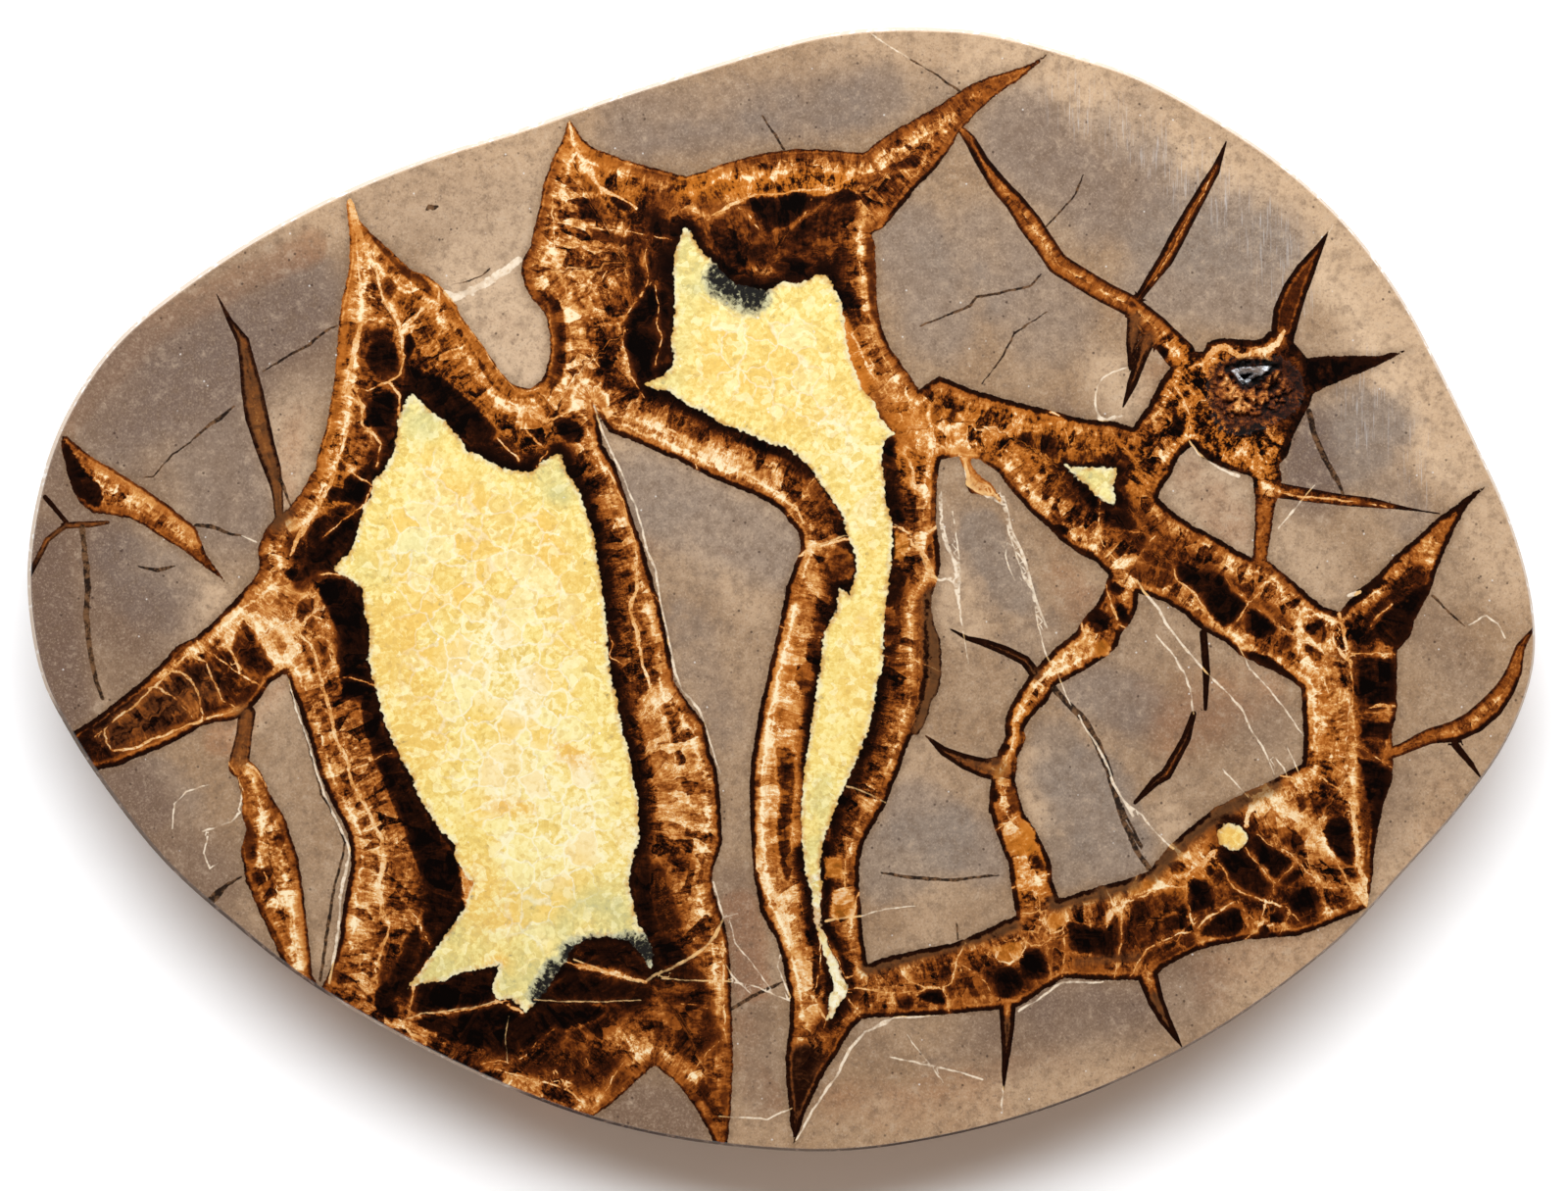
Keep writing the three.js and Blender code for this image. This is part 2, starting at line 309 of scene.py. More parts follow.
# Cream calcite hairlines that heal late cracks: (x, y, half width).
HAIRLINES = {
    "wall_seam": [
        (605, 410, 1.2), (613, 436, 1.2), (623, 459, 1.2), (633, 479, 1.2), (641, 500, 1),
        (650, 520, 1), (656, 541, 1), (660, 561, 1.4), (669, 582, 1.4), (674, 615, 1), (682, 651, 1.2),
        (689, 685, 1.4), (695, 703, 1.4), (713, 723, 1.4), (721, 744, 0.8), (735, 790, 0.6),
    ],
    "foot_arc": [
        (738, 936, 1.8), (730, 955, 1.8), (715, 970, 1.8), (700, 980, 1.8), (680, 990, 1.8),
        (668, 995, 2), (657, 1002, 2.2), (640, 998, 1.2), (620, 992, 1), (600, 984, 0.8),
        (585, 978, 0.6),
    ],
    "foot_arc_up": [(728, 900, 1), (733, 918, 1.2), (738, 936, 1.4), (752, 932, 0.8)],
    "foot_cross": [
        (675, 998, 0.5), (700, 1000, 0.7), (740, 1001, 0.9), (768, 1005, 0.8), (785, 1012, 0.7),
        (806, 1021, 0.8),
    ],
    "foot_low": [
        (410, 1041, 1), (430, 1034, 0.8), (460, 1031, 0.8), (490, 1026, 0.7), (508, 1021, 0.6),
    ],
    "foot_mid": [(545, 1020, 0.3), (580, 1022, 0.6), (620, 1022, 0.4), (655, 1020, 0.2)],
    "foot_fall": [(519, 1036, 0.2), (515, 1060, 0.5), (518, 1084, 0.3)],
    "centre_a": [(745, 940, 0.5), (750, 962, 0.9), (765, 980, 0.8), (780, 1000, 0.7), (787, 1010, 0.4)],
    "centre_b": [
        (733, 1139, 0.8), (760, 1140, 0.9), (783, 1142, 0.9), (800, 1134, 0.9), (808, 1131, 0.6),
    ],
    "centre_c": [(796, 975, 0.8), (793, 985, 0.9), (800, 1002, 0.9), (808, 1020, 0.9)],
    "middle_a": [
        (843, 940, 1.3), (860, 936, 1.4), (875, 935, 1.2), (890, 931, 1), (905, 927, 1),
        (920, 926, 0.6), (935, 924, 0.4),
    ],
    "inner_a": [
        (1160, 592, 1), (1168, 604, 1.2), (1183, 622, 1.4), (1190, 636, 1.2), (1205, 656, 1.2),
        (1231, 686, 1), (1251, 705, 1), (1267, 723, 1.2), (1277, 746, 1.2), (1290, 764, 1),
        (1300, 790, 0.8),
    ],
    "inner_b": [
        (1264, 659, 0.6), (1275, 682, 0.9), (1295, 703, 0.9), (1313, 726, 0.8), (1330, 751, 0.6),
    ],
    "inner_c": [(1190, 659, 0.4), (1205, 677, 0.7), (1214, 703, 0.8), (1218, 728, 0.6)],
    "middle_b": [
        (1020, 500, 0.5), (1030, 545, 0.8), (1045, 590, 0.8), (1052, 600, 0.8), (1060, 640, 0.8),
        (1068, 670, 0.8), (1080, 690, 0.8), (1093, 720, 0.5),
    ],
    "middle_c": [(965, 545, 0.5), (975, 580, 0.9), (978, 600, 0.9), (982, 640, 0.7), (988, 677, 0.5)],
    "middle_d": [(984, 468, 0.8), (989, 490, 1.6), (1004, 500, 1.2), (1020, 512, 0.6)],
    "right_body_a": [(828, 558, 0.8), (840, 554, 1), (855, 549, 1), (866, 546, 0.8)],
    "right_body_b": [(862, 801, 0.8), (882, 808, 1), (904, 819, 0.8)],
    "right_body_c": [
        (912, 535, 0.8), (930, 545, 1.2), (945, 580, 1.4), (958, 592, 1.2), (972, 590, 0.8),
    ],
    "upstream": [(888, 34, 0.7), (905, 46, 0.7), (928, 60, 0.7)],
    "ring": [
        (1151, 375, 0.9), (1138, 378, 0.9), (1126, 385, 0.9), (1119, 395, 0.9), (1118, 408, 0.9),
        (1118, 418, 1.8), (1122, 427, 2.2), (1130, 429, 2.4), (1138, 425, 2), (1144, 424, 1.5),
    ],
    "spike_k_tip": [(1024, 1108, 0.8), (1022, 1125, 1.2), (1023, 1139, 0.6)],
    "low_right_a": [(903, 1077, 0.6), (940, 1085, 1), (975, 1093, 0.9), (1003, 1101, 1)],
    "low_right_b": [(925, 1055, 0.5), (938, 1073, 0.8), (952, 1090, 0.9), (962, 1104, 0.5)],
    "far_right_a": [(1498, 638, 0.8), (1516, 628, 1), (1528, 636, 1), (1536, 651, 0.8)],
    "bay": [
        (454, 298, 3), (464, 303, 6), (480, 297, 6.5), (500, 286, 5.5), (518, 275, 5), (531, 265, 4),
    ],
    "spike_seam": [
        (908, 1043, 1), (882, 1053, 1.4), (867, 1071, 1.6), (856, 1094, 1.4), (831, 1130, 1.2),
        (813, 1163, 0.8),
    ],
    "left_lip_pale": [
        (294, 692, 0.8), (302, 722, 0.9), (314, 756, 1), (324, 790, 1.1), (334, 818, 1.2),
        (348, 846, 1.4), (357, 866, 1.4), (353, 890, 1.6), (347, 915, 1.8), (346, 940, 1.6),
        (343, 965, 1.6), (336, 1003, 1.2),
    ],
    "spike_tips": [(1355, 238, 1), (1360, 229, 0.6)],
    "lens_pale": [(247, 547, 0.4), (262, 553, 0.8)],
    "fan_patch": [
        (984, 470, 1.5), (987, 482, 2.5), (988, 494, 2.5), (998, 501, 2), (1010, 507, 1.8),
        (1021, 513, 1.5),
    ],
    "fan_side": [(988, 484, 1.5), (1000, 494, 1.5), (1010, 496, 0.8), (1018, 508, 0.8)],
    "middle_e": [(958, 500, 0.4), (960, 540, 0.6), (966, 560, 0.7), (975, 572, 0.8)],
    "middle_f": [(972, 520, 0.4), (978, 560, 0.7), (980, 596, 0.7)],
    "middle_g": [(958, 592, 0.9), (966, 590, 1), (973, 594, 0.9), (978, 612, 1), (982, 640, 0.6)],
    "loop_a": [(1301, 772, 0.5), (1310, 783, 0.8), (1313, 792, 0.8)],
    "loop_b": [(1312, 760, 0.5), (1319, 774, 0.8), (1326, 790, 0.8)],
    "inner_d": [(1152, 822, 1.2), (1165, 831, 1), (1176, 846, 1), (1188, 858, 1.2), (1198, 866, 1.5)],
    "inner_e": [(1247, 784, 0.8), (1258, 796, 0.9), (1268, 807, 1), (1274, 814, 1.2)],
    "inner_f": [(1180, 648, 0.7), (1195, 665, 0.9), (1207, 685, 1), (1214, 700, 1), (1217, 725, 1)],
    "diagonal_core": [
        (1101, 730, 0.8), (1107, 742, 1), (1118, 758, 1), (1125, 770, 1.2), (1131, 784, 1.2),
        (1136, 798, 1.5), (1143, 812, 1.5), (1152, 824, 1.8), (1156, 832, 1.5),
    ],
    "vug_edge": [
        (1214, 450, 0.8), (1222, 462, 1.2), (1232, 470, 1.2), (1244, 477, 1), (1254, 482, 1.5),
        (1264, 486, 2),
    ],
    "vug_low": [
        (1342, 494, 0.6), (1330, 508, 0.8), (1318, 523, 1.4), (1310, 532, 0.8), (1304, 540, 0.6),
    ],
    "middle_h": [
        (1024, 505, 0.8), (1028, 520, 1), (1032, 540, 1.2), (1038, 552, 1.4), (1044, 566, 1.6),
        (1048, 580, 1.8), (1052, 596, 2), (1056, 610, 1.8), (1062, 626, 1.6), (1068, 640, 1.2),
    ],
    "middle_i": [
        (960, 500, 0.8), (962, 530, 0.8), (966, 555, 1), (970, 565, 1.6), (976, 575, 1.6),
        (978, 590, 1.6), (979, 620, 1),
    ],
    "middle_j": [(1028, 552, 0.5), (1026, 566, 0.6), (1030, 580, 0.6), (1036, 594, 0.5)],
    "rock_chip": [(1376, 608, 1.5), (1382, 606, 2.5), (1388, 604, 1.5)],
    "centre_d": [(738, 980, 0.6), (748, 996, 0.8), (766, 1014, 0.6)],
    "run_chalk": [
        (886, 1052, 1), (896, 1046, 2), (905, 1042, 2.2), (912, 1038, 1.2), (940, 1037, 0.8),
        (968, 1035, 0.6),
    ],
    "run_edge": [
        (1040, 1031, 1.2), (1056, 1022, 1), (1070, 1012, 1.2), (1084, 1002, 1.4), (1126, 1002, 0.8),
    ],
    "squiggle_a": [(176, 846, 0.5), (178, 820, 0.8), (190, 808, 0.8), (206, 802, 0.6), (214, 800, 0.4)],
    "squiggle_b": [(206, 848, 1.2), (220, 844, 0.9), (236, 838, 1.1), (246, 828, 1)],
    "squiggle_c": [(212, 854, 0.8), (208, 870, 1), (214, 886, 0.8), (222, 880, 0.5)],
    "squiggle_d": [(245, 800, 0.8), (247, 815, 0.8), (242, 832, 0.6)],
}

# Cream seams and crests between the crystals inside the veins: (x, y, half width).
SEAMS = {
    "spike_core": [
        (357, 204, 3), (364, 232, 3.5), (374, 256, 3), (384, 272, 2.5), (389, 300, 2), (402, 318, 2.5),
        (410, 340, 2.5), (412, 360, 2), (408, 382, 1.5), (398, 390, 2), (376, 398, 1.5),
        (362, 396, 1.2),
    ],
    "left_crest": [
        (364, 232, 2), (364, 260, 2), (368, 292, 2.5), (370, 320, 2.5), (364, 350, 3), (358, 372, 3),
        (354, 396, 3), (356, 420, 3), (354, 440, 2.5), (346, 466, 2), (338, 492, 2.5), (322, 520, 3),
        (306, 545, 3), (296, 566, 2),
    ],
    "left_cell": [
        (362, 396, 2), (370, 416, 2.5), (368, 432, 2), (380, 442, 2.5), (388, 454, 1.8),
        (384, 476, 1.2),
    ],
    "left_tip": [(400, 392, 2), (408, 404, 2), (406, 424, 1.2)],
    "left_low_cell": [
        (346, 466, 1.5), (362, 484, 1.5), (380, 496, 1.2), (372, 516, 1.5), (350, 530, 1.2),
        (330, 548, 1),
    ],
    "bay_net": [(446, 290, 2), (448, 308, 2.5), (432, 314, 2.5), (420, 328, 2), (410, 334, 1.5)],
    "bay_fringe": [
        (452, 292, 1.5), (466, 312, 1.2), (480, 338, 1.2), (496, 360, 1.2), (516, 388, 1.5),
        (530, 402, 1.5), (556, 394, 1),
    ],
    "bay_foot": [
        (506, 412, 2), (520, 418, 3), (536, 416, 4), (558, 430, 2.5), (574, 424, 2), (592, 410, 2),
    ],
    "bay_hang": [(530, 430, 1.2), (542, 444, 1.5), (558, 460, 1.5), (548, 476, 1)],
    "bay_tip": [(508, 446, 1.5), (518, 458, 2), (530, 470, 1.5)],
    "low_crest": [
        (302, 636, 3), (308, 650, 2), (316, 656, 2), (324, 680, 2.5), (328, 696, 2.5), (336, 726, 2.5),
        (342, 752, 2.5), (352, 772, 2.5), (356, 786, 2), (360, 800, 2.5), (372, 820, 2.5),
        (380, 838, 2.5), (389, 856, 2.5), (392, 880, 3), (386, 905, 3), (390, 931, 3), (398, 945, 2),
        (390, 968, 2.5), (383, 987, 2), (385, 1004, 1.5),
    ],
    "low_web_a": [
        (326, 610, 1), (333, 626, 1.2), (340, 648, 1.2), (336, 664, 1), (342, 680, 1.2),
        (348, 692, 0.8),
    ],
    "low_web_b": [(326, 614, 1), (312, 634, 1.2), (306, 652, 1)],
    "calcite_lip": [(326, 586, 1.5), (336, 586, 2), (350, 586, 2), (360, 590, 1.5)],
    "low_line_a": [(294, 687, 0.8), (340, 690, 0.8), (364, 693, 1), (384, 700, 0.7)],
    "low_line_b": [(326, 790, 0.8), (356, 784, 1), (380, 776, 1), (392, 769, 0.8), (408, 768, 0.6)],
    "arm_a": [(150, 702, 1), (160, 701, 1.8), (177, 711, 1.8), (191, 725, 1.5), (201, 737, 1)],
    "arm_b": [
        (160, 690, 1), (167, 683, 1.8), (184, 685, 2), (198, 697, 2), (203, 713, 1.8), (208, 732, 1.2),
    ],
    "arm_c": [(193, 666, 2.5), (210, 675, 2), (217, 694, 1.5), (227, 714, 1.2), (240, 722, 1)],
    "arm_d": [(201, 655, 1.2), (227, 676, 1.5), (245, 687, 1.5), (272, 704, 1.5)],
    "arm_e": [
        (226, 640, 4), (232, 630, 3), (236, 652, 2.5), (232, 659, 2), (238, 669, 2), (246, 683, 2),
    ],
    "arm_f": [
        (248, 626, 4), (264, 643, 4), (278, 669, 3.5), (295, 676, 3), (302, 664, 3), (296, 650, 4),
        (282, 636, 4),
    ],
    "arm_low": [
        (115, 766, 2), (134, 764, 2), (163, 752, 2), (191, 740, 2), (212, 733, 2), (243, 724, 1.8),
    ],
    "arm_high": [
        (97, 751, 1.5), (109, 741, 1.5), (137, 720, 2), (156, 702, 2), (178, 680, 2), (196, 664, 2),
    ],
    "arm_end": [(106, 747, 2), (108, 757, 1.5), (115, 766, 1.5)],
    "lens_a": [(219, 772, 2.5), (231, 775, 2), (243, 791, 1.5), (248, 808, 1.2), (246, 824, 1)],
    "lens_b": [(252, 779, 2), (264, 787, 1.8), (272, 801, 1.5), (271, 811, 0.8)],
    "lens_c": [(255, 789, 2), (262, 808, 2.5), (267, 830, 2), (265, 848, 1)],
    "head_spine": [
        (579, 121, 2), (585, 144, 2.5), (598, 170, 3), (612, 191, 2.5), (636, 203, 2), (649, 212, 1.5),
    ],
    "head_crest": [
        (706, 215, 1), (724, 222, 1.5), (744, 210, 2.5), (770, 199, 2), (792, 198, 2), (816, 194, 2),
        (842, 194, 2.2), (859, 187, 2), (871, 180, 1.5),
    ],
    "head_left": [(563, 202, 1.5), (566, 254, 1.5), (583, 319, 1.5), (610, 374, 1.2)],
    "head_low": [(578, 355, 1.2), (598, 391, 1.2), (606, 410, 2)],
    "head_bar": [(578, 230, 1.2), (619, 235, 1.5), (646, 236, 1), (660, 240, 1.5), (686, 245, 1)],
    "head_web_a": [
        (660, 247, 1), (658, 262, 1), (662, 288, 1.2), (646, 312, 1.2), (636, 329, 1.2),
        (636, 350, 1.5), (643, 384, 1.2), (658, 406, 0.8),
    ],
    "head_web_b": [(749, 209, 1), (761, 216, 1.2), (770, 228, 1.2), (778, 238, 0.8)],
    "head_web_c": [(828, 204, 0.8), (823, 216, 0.8), (809, 230, 0.8)],
    "head_web_d": [(620, 276, 0.8), (604, 300, 0.8), (616, 330, 1), (640, 336, 0.8)],
    "head_right": [(878, 226, 1), (876, 264, 1.2), (881, 300, 1.2), (895, 348, 1.2), (912, 384, 1.5)],
    "net_a": [
        (842, 290, 2), (850, 312, 1.5), (862, 330, 1.5), (874, 350, 2), (884, 372, 2), (896, 394, 2),
    ],
    "net_b": [(846, 330, 1), (858, 340, 1), (872, 338, 1), (882, 330, 1)],
    "body_top": [
        (606, 414, 2), (618, 423, 2), (640, 427, 1.8), (672, 434, 1.8), (700, 446, 1.8),
        (708, 460, 1.5), (720, 466, 2), (750, 478, 2), (776, 492, 2), (796, 504, 2), (812, 518, 2.5),
        (820, 534, 2),
    ],
    "body_top_a": [(680, 440, 1.2), (684, 456, 1.2), (708, 468, 1), (712, 478, 0.8)],
    "body_top_b": [(678, 416, 1), (682, 438, 1)],
    "body_top_c": [(832, 488, 1), (826, 494, 1.2), (823, 502, 1.2), (812, 518, 1.2), (804, 527, 0.8)],
    "centre_crest": [
        (597, 436, 1.5), (604, 448, 2), (610, 468, 2.5), (624, 484, 2), (632, 504, 2), (640, 532, 2),
        (648, 552, 2), (650, 580, 2), (650, 600, 2.5), (642, 622, 2.5), (650, 644, 2.5),
        (656, 680, 2.5), (668, 712, 2), (680, 744, 2), (690, 780, 1.5),
    ],
    "centre_side": [(650, 590, 1.5), (660, 600, 1.5), (674, 616, 1.2)],
    "centre_low": [(618, 640, 0.8), (626, 656, 1), (622, 670, 1), (636, 678, 0.8)],
    "band_crossing": [(866, 550, 2), (850, 552, 2), (836, 558, 2), (820, 564, 2), (810, 570, 1.2)],
    "band_line": [(796, 640, 0.8), (810, 643, 1), (826, 649, 1), (842, 651, 0.8)],
    "band_crest": [
        (812, 620, 2), (798, 680, 2), (788, 740, 2), (779, 804, 2), (780, 825, 2), (777, 847, 2.2),
        (773, 868, 2.5), (775, 887, 3.2), (783, 902, 3.8), (794, 921, 4), (803, 945, 3.5),
        (809, 966, 3), (815, 985, 2.8), (822, 1005, 2.5), (833, 1024, 2), (842, 1041, 1.5),
        (841, 1049, 1),
    ],
    "band_inner": [(835, 953, 1), (837, 973, 1.2), (835, 996, 1.2), (831, 1017, 1)],
    "right_net": [
        (916, 458, 2), (928, 470, 2.5), (932, 484, 2.5), (931, 494, 2.5), (938, 500, 2.5),
        (948, 502, 2),
    ],
    "right_star": [
        (956, 536, 2), (948, 542, 2.2), (940, 552, 2.5), (940, 562, 3), (946, 574, 3), (952, 588, 3),
        (960, 597, 2),
    ],
    "right_hook": [(911, 538, 1.8), (920, 539, 2), (929, 546, 2), (930, 556, 2), (940, 560, 2.5)],
    "right_line_a": [(911, 576, 0.8), (924, 575, 0.8)],
    "right_line_b": [
        (901, 668, 0.8), (916, 672, 1), (932, 671, 1), (944, 678, 0.8), (960, 686, 0.8),
        (980, 683, 0.6),
    ],
    "foot_gold": [(865, 872, 1.2), (862, 889, 1.5), (861, 909, 1.5), (850, 921, 1.5), (847, 936, 1.2)],
    "foot_gold_side": [(877, 911, 1.5), (873, 923, 2), (870, 937, 1.5)],
    "foot_star_a": [(860, 999, 1.2), (873, 994, 1.2), (884, 990, 0.8)],
    "foot_star_b": [
        (865, 1009, 1.5), (879, 1008, 1.5), (897, 1012, 1.5), (922, 1013, 1.5), (937, 1012, 1.5),
        (948, 1007, 1.2), (960, 1007, 1.2),
    ],
    "foot_star_c": [(865, 1017, 1), (873, 1030, 1.2), (877, 1037, 0.8)],
    "junction_a": [(950, 450, 2), (970, 460, 2), (984, 468, 1.5)],
    "junction_b": [(948, 414, 1), (950, 432, 1.2), (964, 440, 1.2), (978, 430, 1)],
    "junction_c": [
        (1072, 420, 1.2), (1082, 424, 1.5), (1086, 438, 1.5), (1090, 452, 1.5), (1094, 456, 1.2),
        (1098, 442, 1),
    ],
    "junction_d": [(1090, 452, 1), (1091, 468, 1)],
    "junction_e": [
        (1122, 512, 0.8), (1121, 530, 1), (1122, 546, 1.2), (1124, 556, 1.2), (1134, 566, 1.2),
        (1144, 576, 1.5), (1152, 590, 1.2),
    ],
    "junction_f": [(1146, 578, 1.2), (1164, 566, 1.2), (1178, 546, 1)],
    "junction_g": [(1134, 438, 1), (1144, 454, 1), (1160, 470, 0.8)],
    "vug_left": [(1198, 392, 2), (1208, 408, 2), (1214, 426, 2), (1210, 446, 2), (1200, 460, 1.5)],
    "diagonal_edge": [
        (1197, 580, 1.2), (1201, 592, 1.8), (1218, 604, 2), (1227, 618, 2), (1237, 632, 1.8),
        (1248, 644, 1.5),
    ],
    "diagonal_cross": [
        (1248, 644, 1.5), (1255, 639, 1.2), (1267, 628, 1.5), (1272, 621, 1.2), (1279, 611, 1),
        (1287, 601, 1), (1294, 592, 1.5), (1300, 590, 2),
    ],
    "diagonal_fall": [
        (1255, 644, 1.2), (1261, 651, 1.5), (1265, 658, 1.5), (1270, 673, 1.2), (1275, 682, 0.8),
    ],
    "diagonal_line": [
        (1251, 590, 0.8), (1258, 601, 1), (1275, 615, 1), (1293, 628, 1), (1305, 637, 1),
        (1319, 647, 1), (1329, 654, 1),
    ],
    "diagonal_web": [(1308, 611, 1), (1324, 635, 1), (1336, 651, 1), (1346, 660, 1)],
    "corner_web": [(1322, 660, 0.8), (1331, 673, 1), (1341, 684, 1)],
    "corner_seam": [
        (1350, 627, 1.2), (1362, 630, 1.5), (1361, 650, 1.5), (1363, 660, 1.5), (1369, 668, 2.5),
        (1378, 675, 3), (1379, 684, 2), (1381, 706, 1.2), (1380, 729, 1.2), (1383, 757, 1.4),
        (1381, 783, 1.4), (1382, 800, 2.5), (1380, 823, 3), (1384, 849, 3), (1385, 875, 2.5),
        (1392, 898, 3), (1394, 914, 2.5),
    ],
    "corner_tan": [(1367, 625, 2), (1371, 644, 2.5), (1374, 661, 2.5)],
    "corner_out": [(1379, 666, 1.5), (1402, 666, 1.5), (1422, 668, 1)],
    "horn_cream": [(1420, 616, 1.5), (1407, 627, 2), (1398, 639, 1.5)],
    "corner_line_a": [(1383, 729, 0.8), (1398, 727, 1), (1420, 729, 0.8)],
    "corner_line_b": [(1384, 757, 1), (1402, 772, 1.5), (1420, 783, 1)],
    "corner_left": [(1334, 710, 1), (1348, 729, 1.5), (1350, 746, 1.2), (1342, 768, 1.2)],
    "rock_loops": [(1300, 788, 1.5), (1312, 793, 2), (1327, 796, 2), (1340, 792, 1.5)],
    "burst": [
        (1290, 802, 3), (1297, 808, 4), (1304, 822, 4.5), (1316, 830, 4.5), (1326, 839, 3.5),
        (1337, 846, 2.5),
    ],
    "burst_left": [(1297, 808, 3), (1285, 811, 3), (1278, 822, 3.5), (1273, 832, 3), (1271, 843, 2.5)],
    "burst_up": [(1271, 808, 1.5), (1278, 816, 1.5)],
    "burst_tail": [
        (1337, 846, 1.5), (1354, 863, 1.5), (1364, 879, 1.5), (1375, 900, 2), (1384, 908, 3.5),
        (1394, 922, 3.5),
    ],
    "burst_fall": [(1333, 853, 1), (1335, 872, 1), (1338, 891, 1), (1345, 905, 1)],
    "corner_hook": [(1340, 787, 1.2), (1356, 799, 1.5), (1380, 813, 1.5)],
    "spot_cream": [(1195, 861, 2.5), (1205, 872, 3), (1226, 882, 3.5), (1236, 872, 3), (1241, 867, 2)],
    "low_loop": [
        (1177, 891, 1.5), (1183, 900, 1.8), (1195, 905, 1.8), (1210, 905, 1.8), (1212, 890, 1.5),
        (1221, 884, 2),
    ],
    "low_arc": [(1160, 917, 1.2), (1174, 910, 1.5), (1195, 905, 1.5)],
    "low_drop": [(1210, 908, 1), (1214, 927, 1.2), (1217, 950, 1.5), (1226, 964, 1)],
    "low_edge": [
        (1160, 984, 1.2), (1170, 969, 1.5), (1191, 958, 1.5), (1203, 953, 1.5), (1217, 950, 1.8),
        (1235, 934, 2), (1259, 920, 1.5),
    ],
    "low_net_a": [
        (1235, 873, 1.2), (1247, 884, 1.2), (1255, 901, 1.4), (1266, 910, 1.6), (1288, 919, 1.4),
        (1311, 925, 1.4), (1330, 943, 1),
    ],
    "low_net_b": [
        (1271, 865, 0.8), (1281, 879, 1), (1293, 891, 1), (1299, 901, 1.2), (1300, 908, 1),
        (1295, 919, 1),
    ],
    "low_net_c": [(1281, 851, 1), (1299, 863, 1.2), (1316, 870, 1.2), (1328, 882, 1.2), (1335, 891, 1)],
    "low_net_d": [(1319, 884, 1), (1311, 891, 1.2), (1304, 900, 1.2)],
    "low_net_e": [(1262, 919, 1), (1273, 931, 1), (1285, 945, 1)],
    "low_net_f": [(1292, 919, 1), (1287, 936, 1), (1283, 950, 1), (1271, 958, 0.8)],
    "low_net_g": [(1314, 927, 1), (1312, 941, 1), (1306, 953, 0.8)],
    "low_net_h": [(1344, 894, 1.2), (1351, 905, 1.5), (1377, 906, 1.2)],
    "low_net_i": [(1226, 884, 0.8), (1235, 898, 1), (1241, 915, 0.8)],
    "run_a": [
        (920, 989, 1), (928, 1002, 1.4), (945, 1008, 1.8), (962, 1008, 1.8), (971, 1002, 1.8),
        (975, 987, 2), (977, 976, 1.5), (986, 963, 1.2),
    ],
    "run_b": [(962, 1008, 1), (967, 1021, 1.2), (968, 1034, 0.8)],
    "run_c": [(909, 1012, 1), (911, 1019, 1.2), (908, 1034, 0.8)],
    "run_d": [(979, 983, 1), (990, 989, 1.2), (1007, 1003, 1), (1012, 1012, 0.8)],
    "run_e": [
        (1000, 963, 1.5), (1007, 970, 1.5), (1018, 974, 1.5), (1018, 981, 1.5), (1031, 983, 2),
        (1041, 976, 1.8), (1046, 965, 1.5), (1046, 959, 1.2),
    ],
    "run_f": [
        (1046, 959, 1.2), (1052, 965, 1.5), (1063, 965, 1.5), (1073, 957, 1.5), (1073, 953, 1.4),
        (1067, 942, 1.4), (1061, 929, 1.4), (1061, 916, 1.4), (1054, 908, 1.4), (1048, 891, 1.2),
        (1046, 880, 1),
    ],
    "run_g": [(1031, 906, 1.6), (1046, 901, 1.8), (1058, 897, 1.8), (1071, 892, 1.2)],
    "run_h": [(1073, 953, 1.4), (1084, 948, 1.4), (1089, 940, 1.4), (1090, 923, 1)],
    "run_i": [(1086, 950, 1), (1087, 972, 1.4), (1084, 995, 1.2)],
    "run_j": [(1067, 963, 0.8), (1069, 980, 1), (1073, 997, 0.8)],
    "run_k": [
        (1129, 908, 1.2), (1137, 923, 1.8), (1144, 927, 2.5), (1144, 961, 1.4), (1139, 987, 1.4),
        (1137, 997, 1.2),
    ],
    "run_l": [
        (1167, 880, 0.8), (1154, 906, 1.2), (1152, 918, 1.5), (1144, 927, 2.5), (1133, 931, 1.4),
        (1129, 946, 1),
    ],
    "run_m": [(1152, 920, 1.5), (1166, 914, 1.8), (1180, 910, 1.5)],
    "run_n": [(1167, 972, 1.4), (1159, 987, 1.6), (1154, 995, 1.2)],
    "base_a": [(401, 903, 0.8), (415, 923, 1), (429, 943, 0.9), (439, 966, 0.7)],
    "base_b": [
        (437, 980, 1.2), (430, 992, 1.6), (422, 1004, 2.6), (420, 1021, 1.8), (416, 1037, 1.4),
        (410, 1044, 2),
    ],
    "base_gold": [
        (416, 1037, 1), (441, 1033, 1.6), (463, 1033, 1.8), (484, 1028, 1.6), (505, 1024, 1.2),
        (519, 1021, 1),
    ],
    "base_orange": [(506, 1020, 1.6), (522, 1028, 2.2), (532, 1033, 2)],
    "arch": [
        (578, 981, 1), (597, 987, 1.8), (614, 992, 1.8), (626, 995, 1.8), (640, 996, 1.8),
        (658, 1002, 2),
    ],
    "base_rim": [(408, 1044, 2.5), (420, 1054, 2.5), (435, 1062, 2)],
    "base_streak_a": [(598, 1130, 2), (588, 1120, 2), (578, 1110, 1.8), (567, 1092, 1.2)],
    "base_streak_b": [(604, 1132, 1.2), (619, 1111, 1.2), (631, 1091, 1.2), (640, 1078, 0.8)],
    "base_streak_c": [(540, 1072, 0.8), (552, 1060, 0.8), (566, 1050, 0.6)],
    "base_streak_d": [(488, 1086, 1), (506, 1082, 1), (520, 1084, 1), (536, 1078, 0.8)],
    "toe_a": [(690, 1024, 0.8), (712, 1026, 1), (740, 1034, 0.8)],
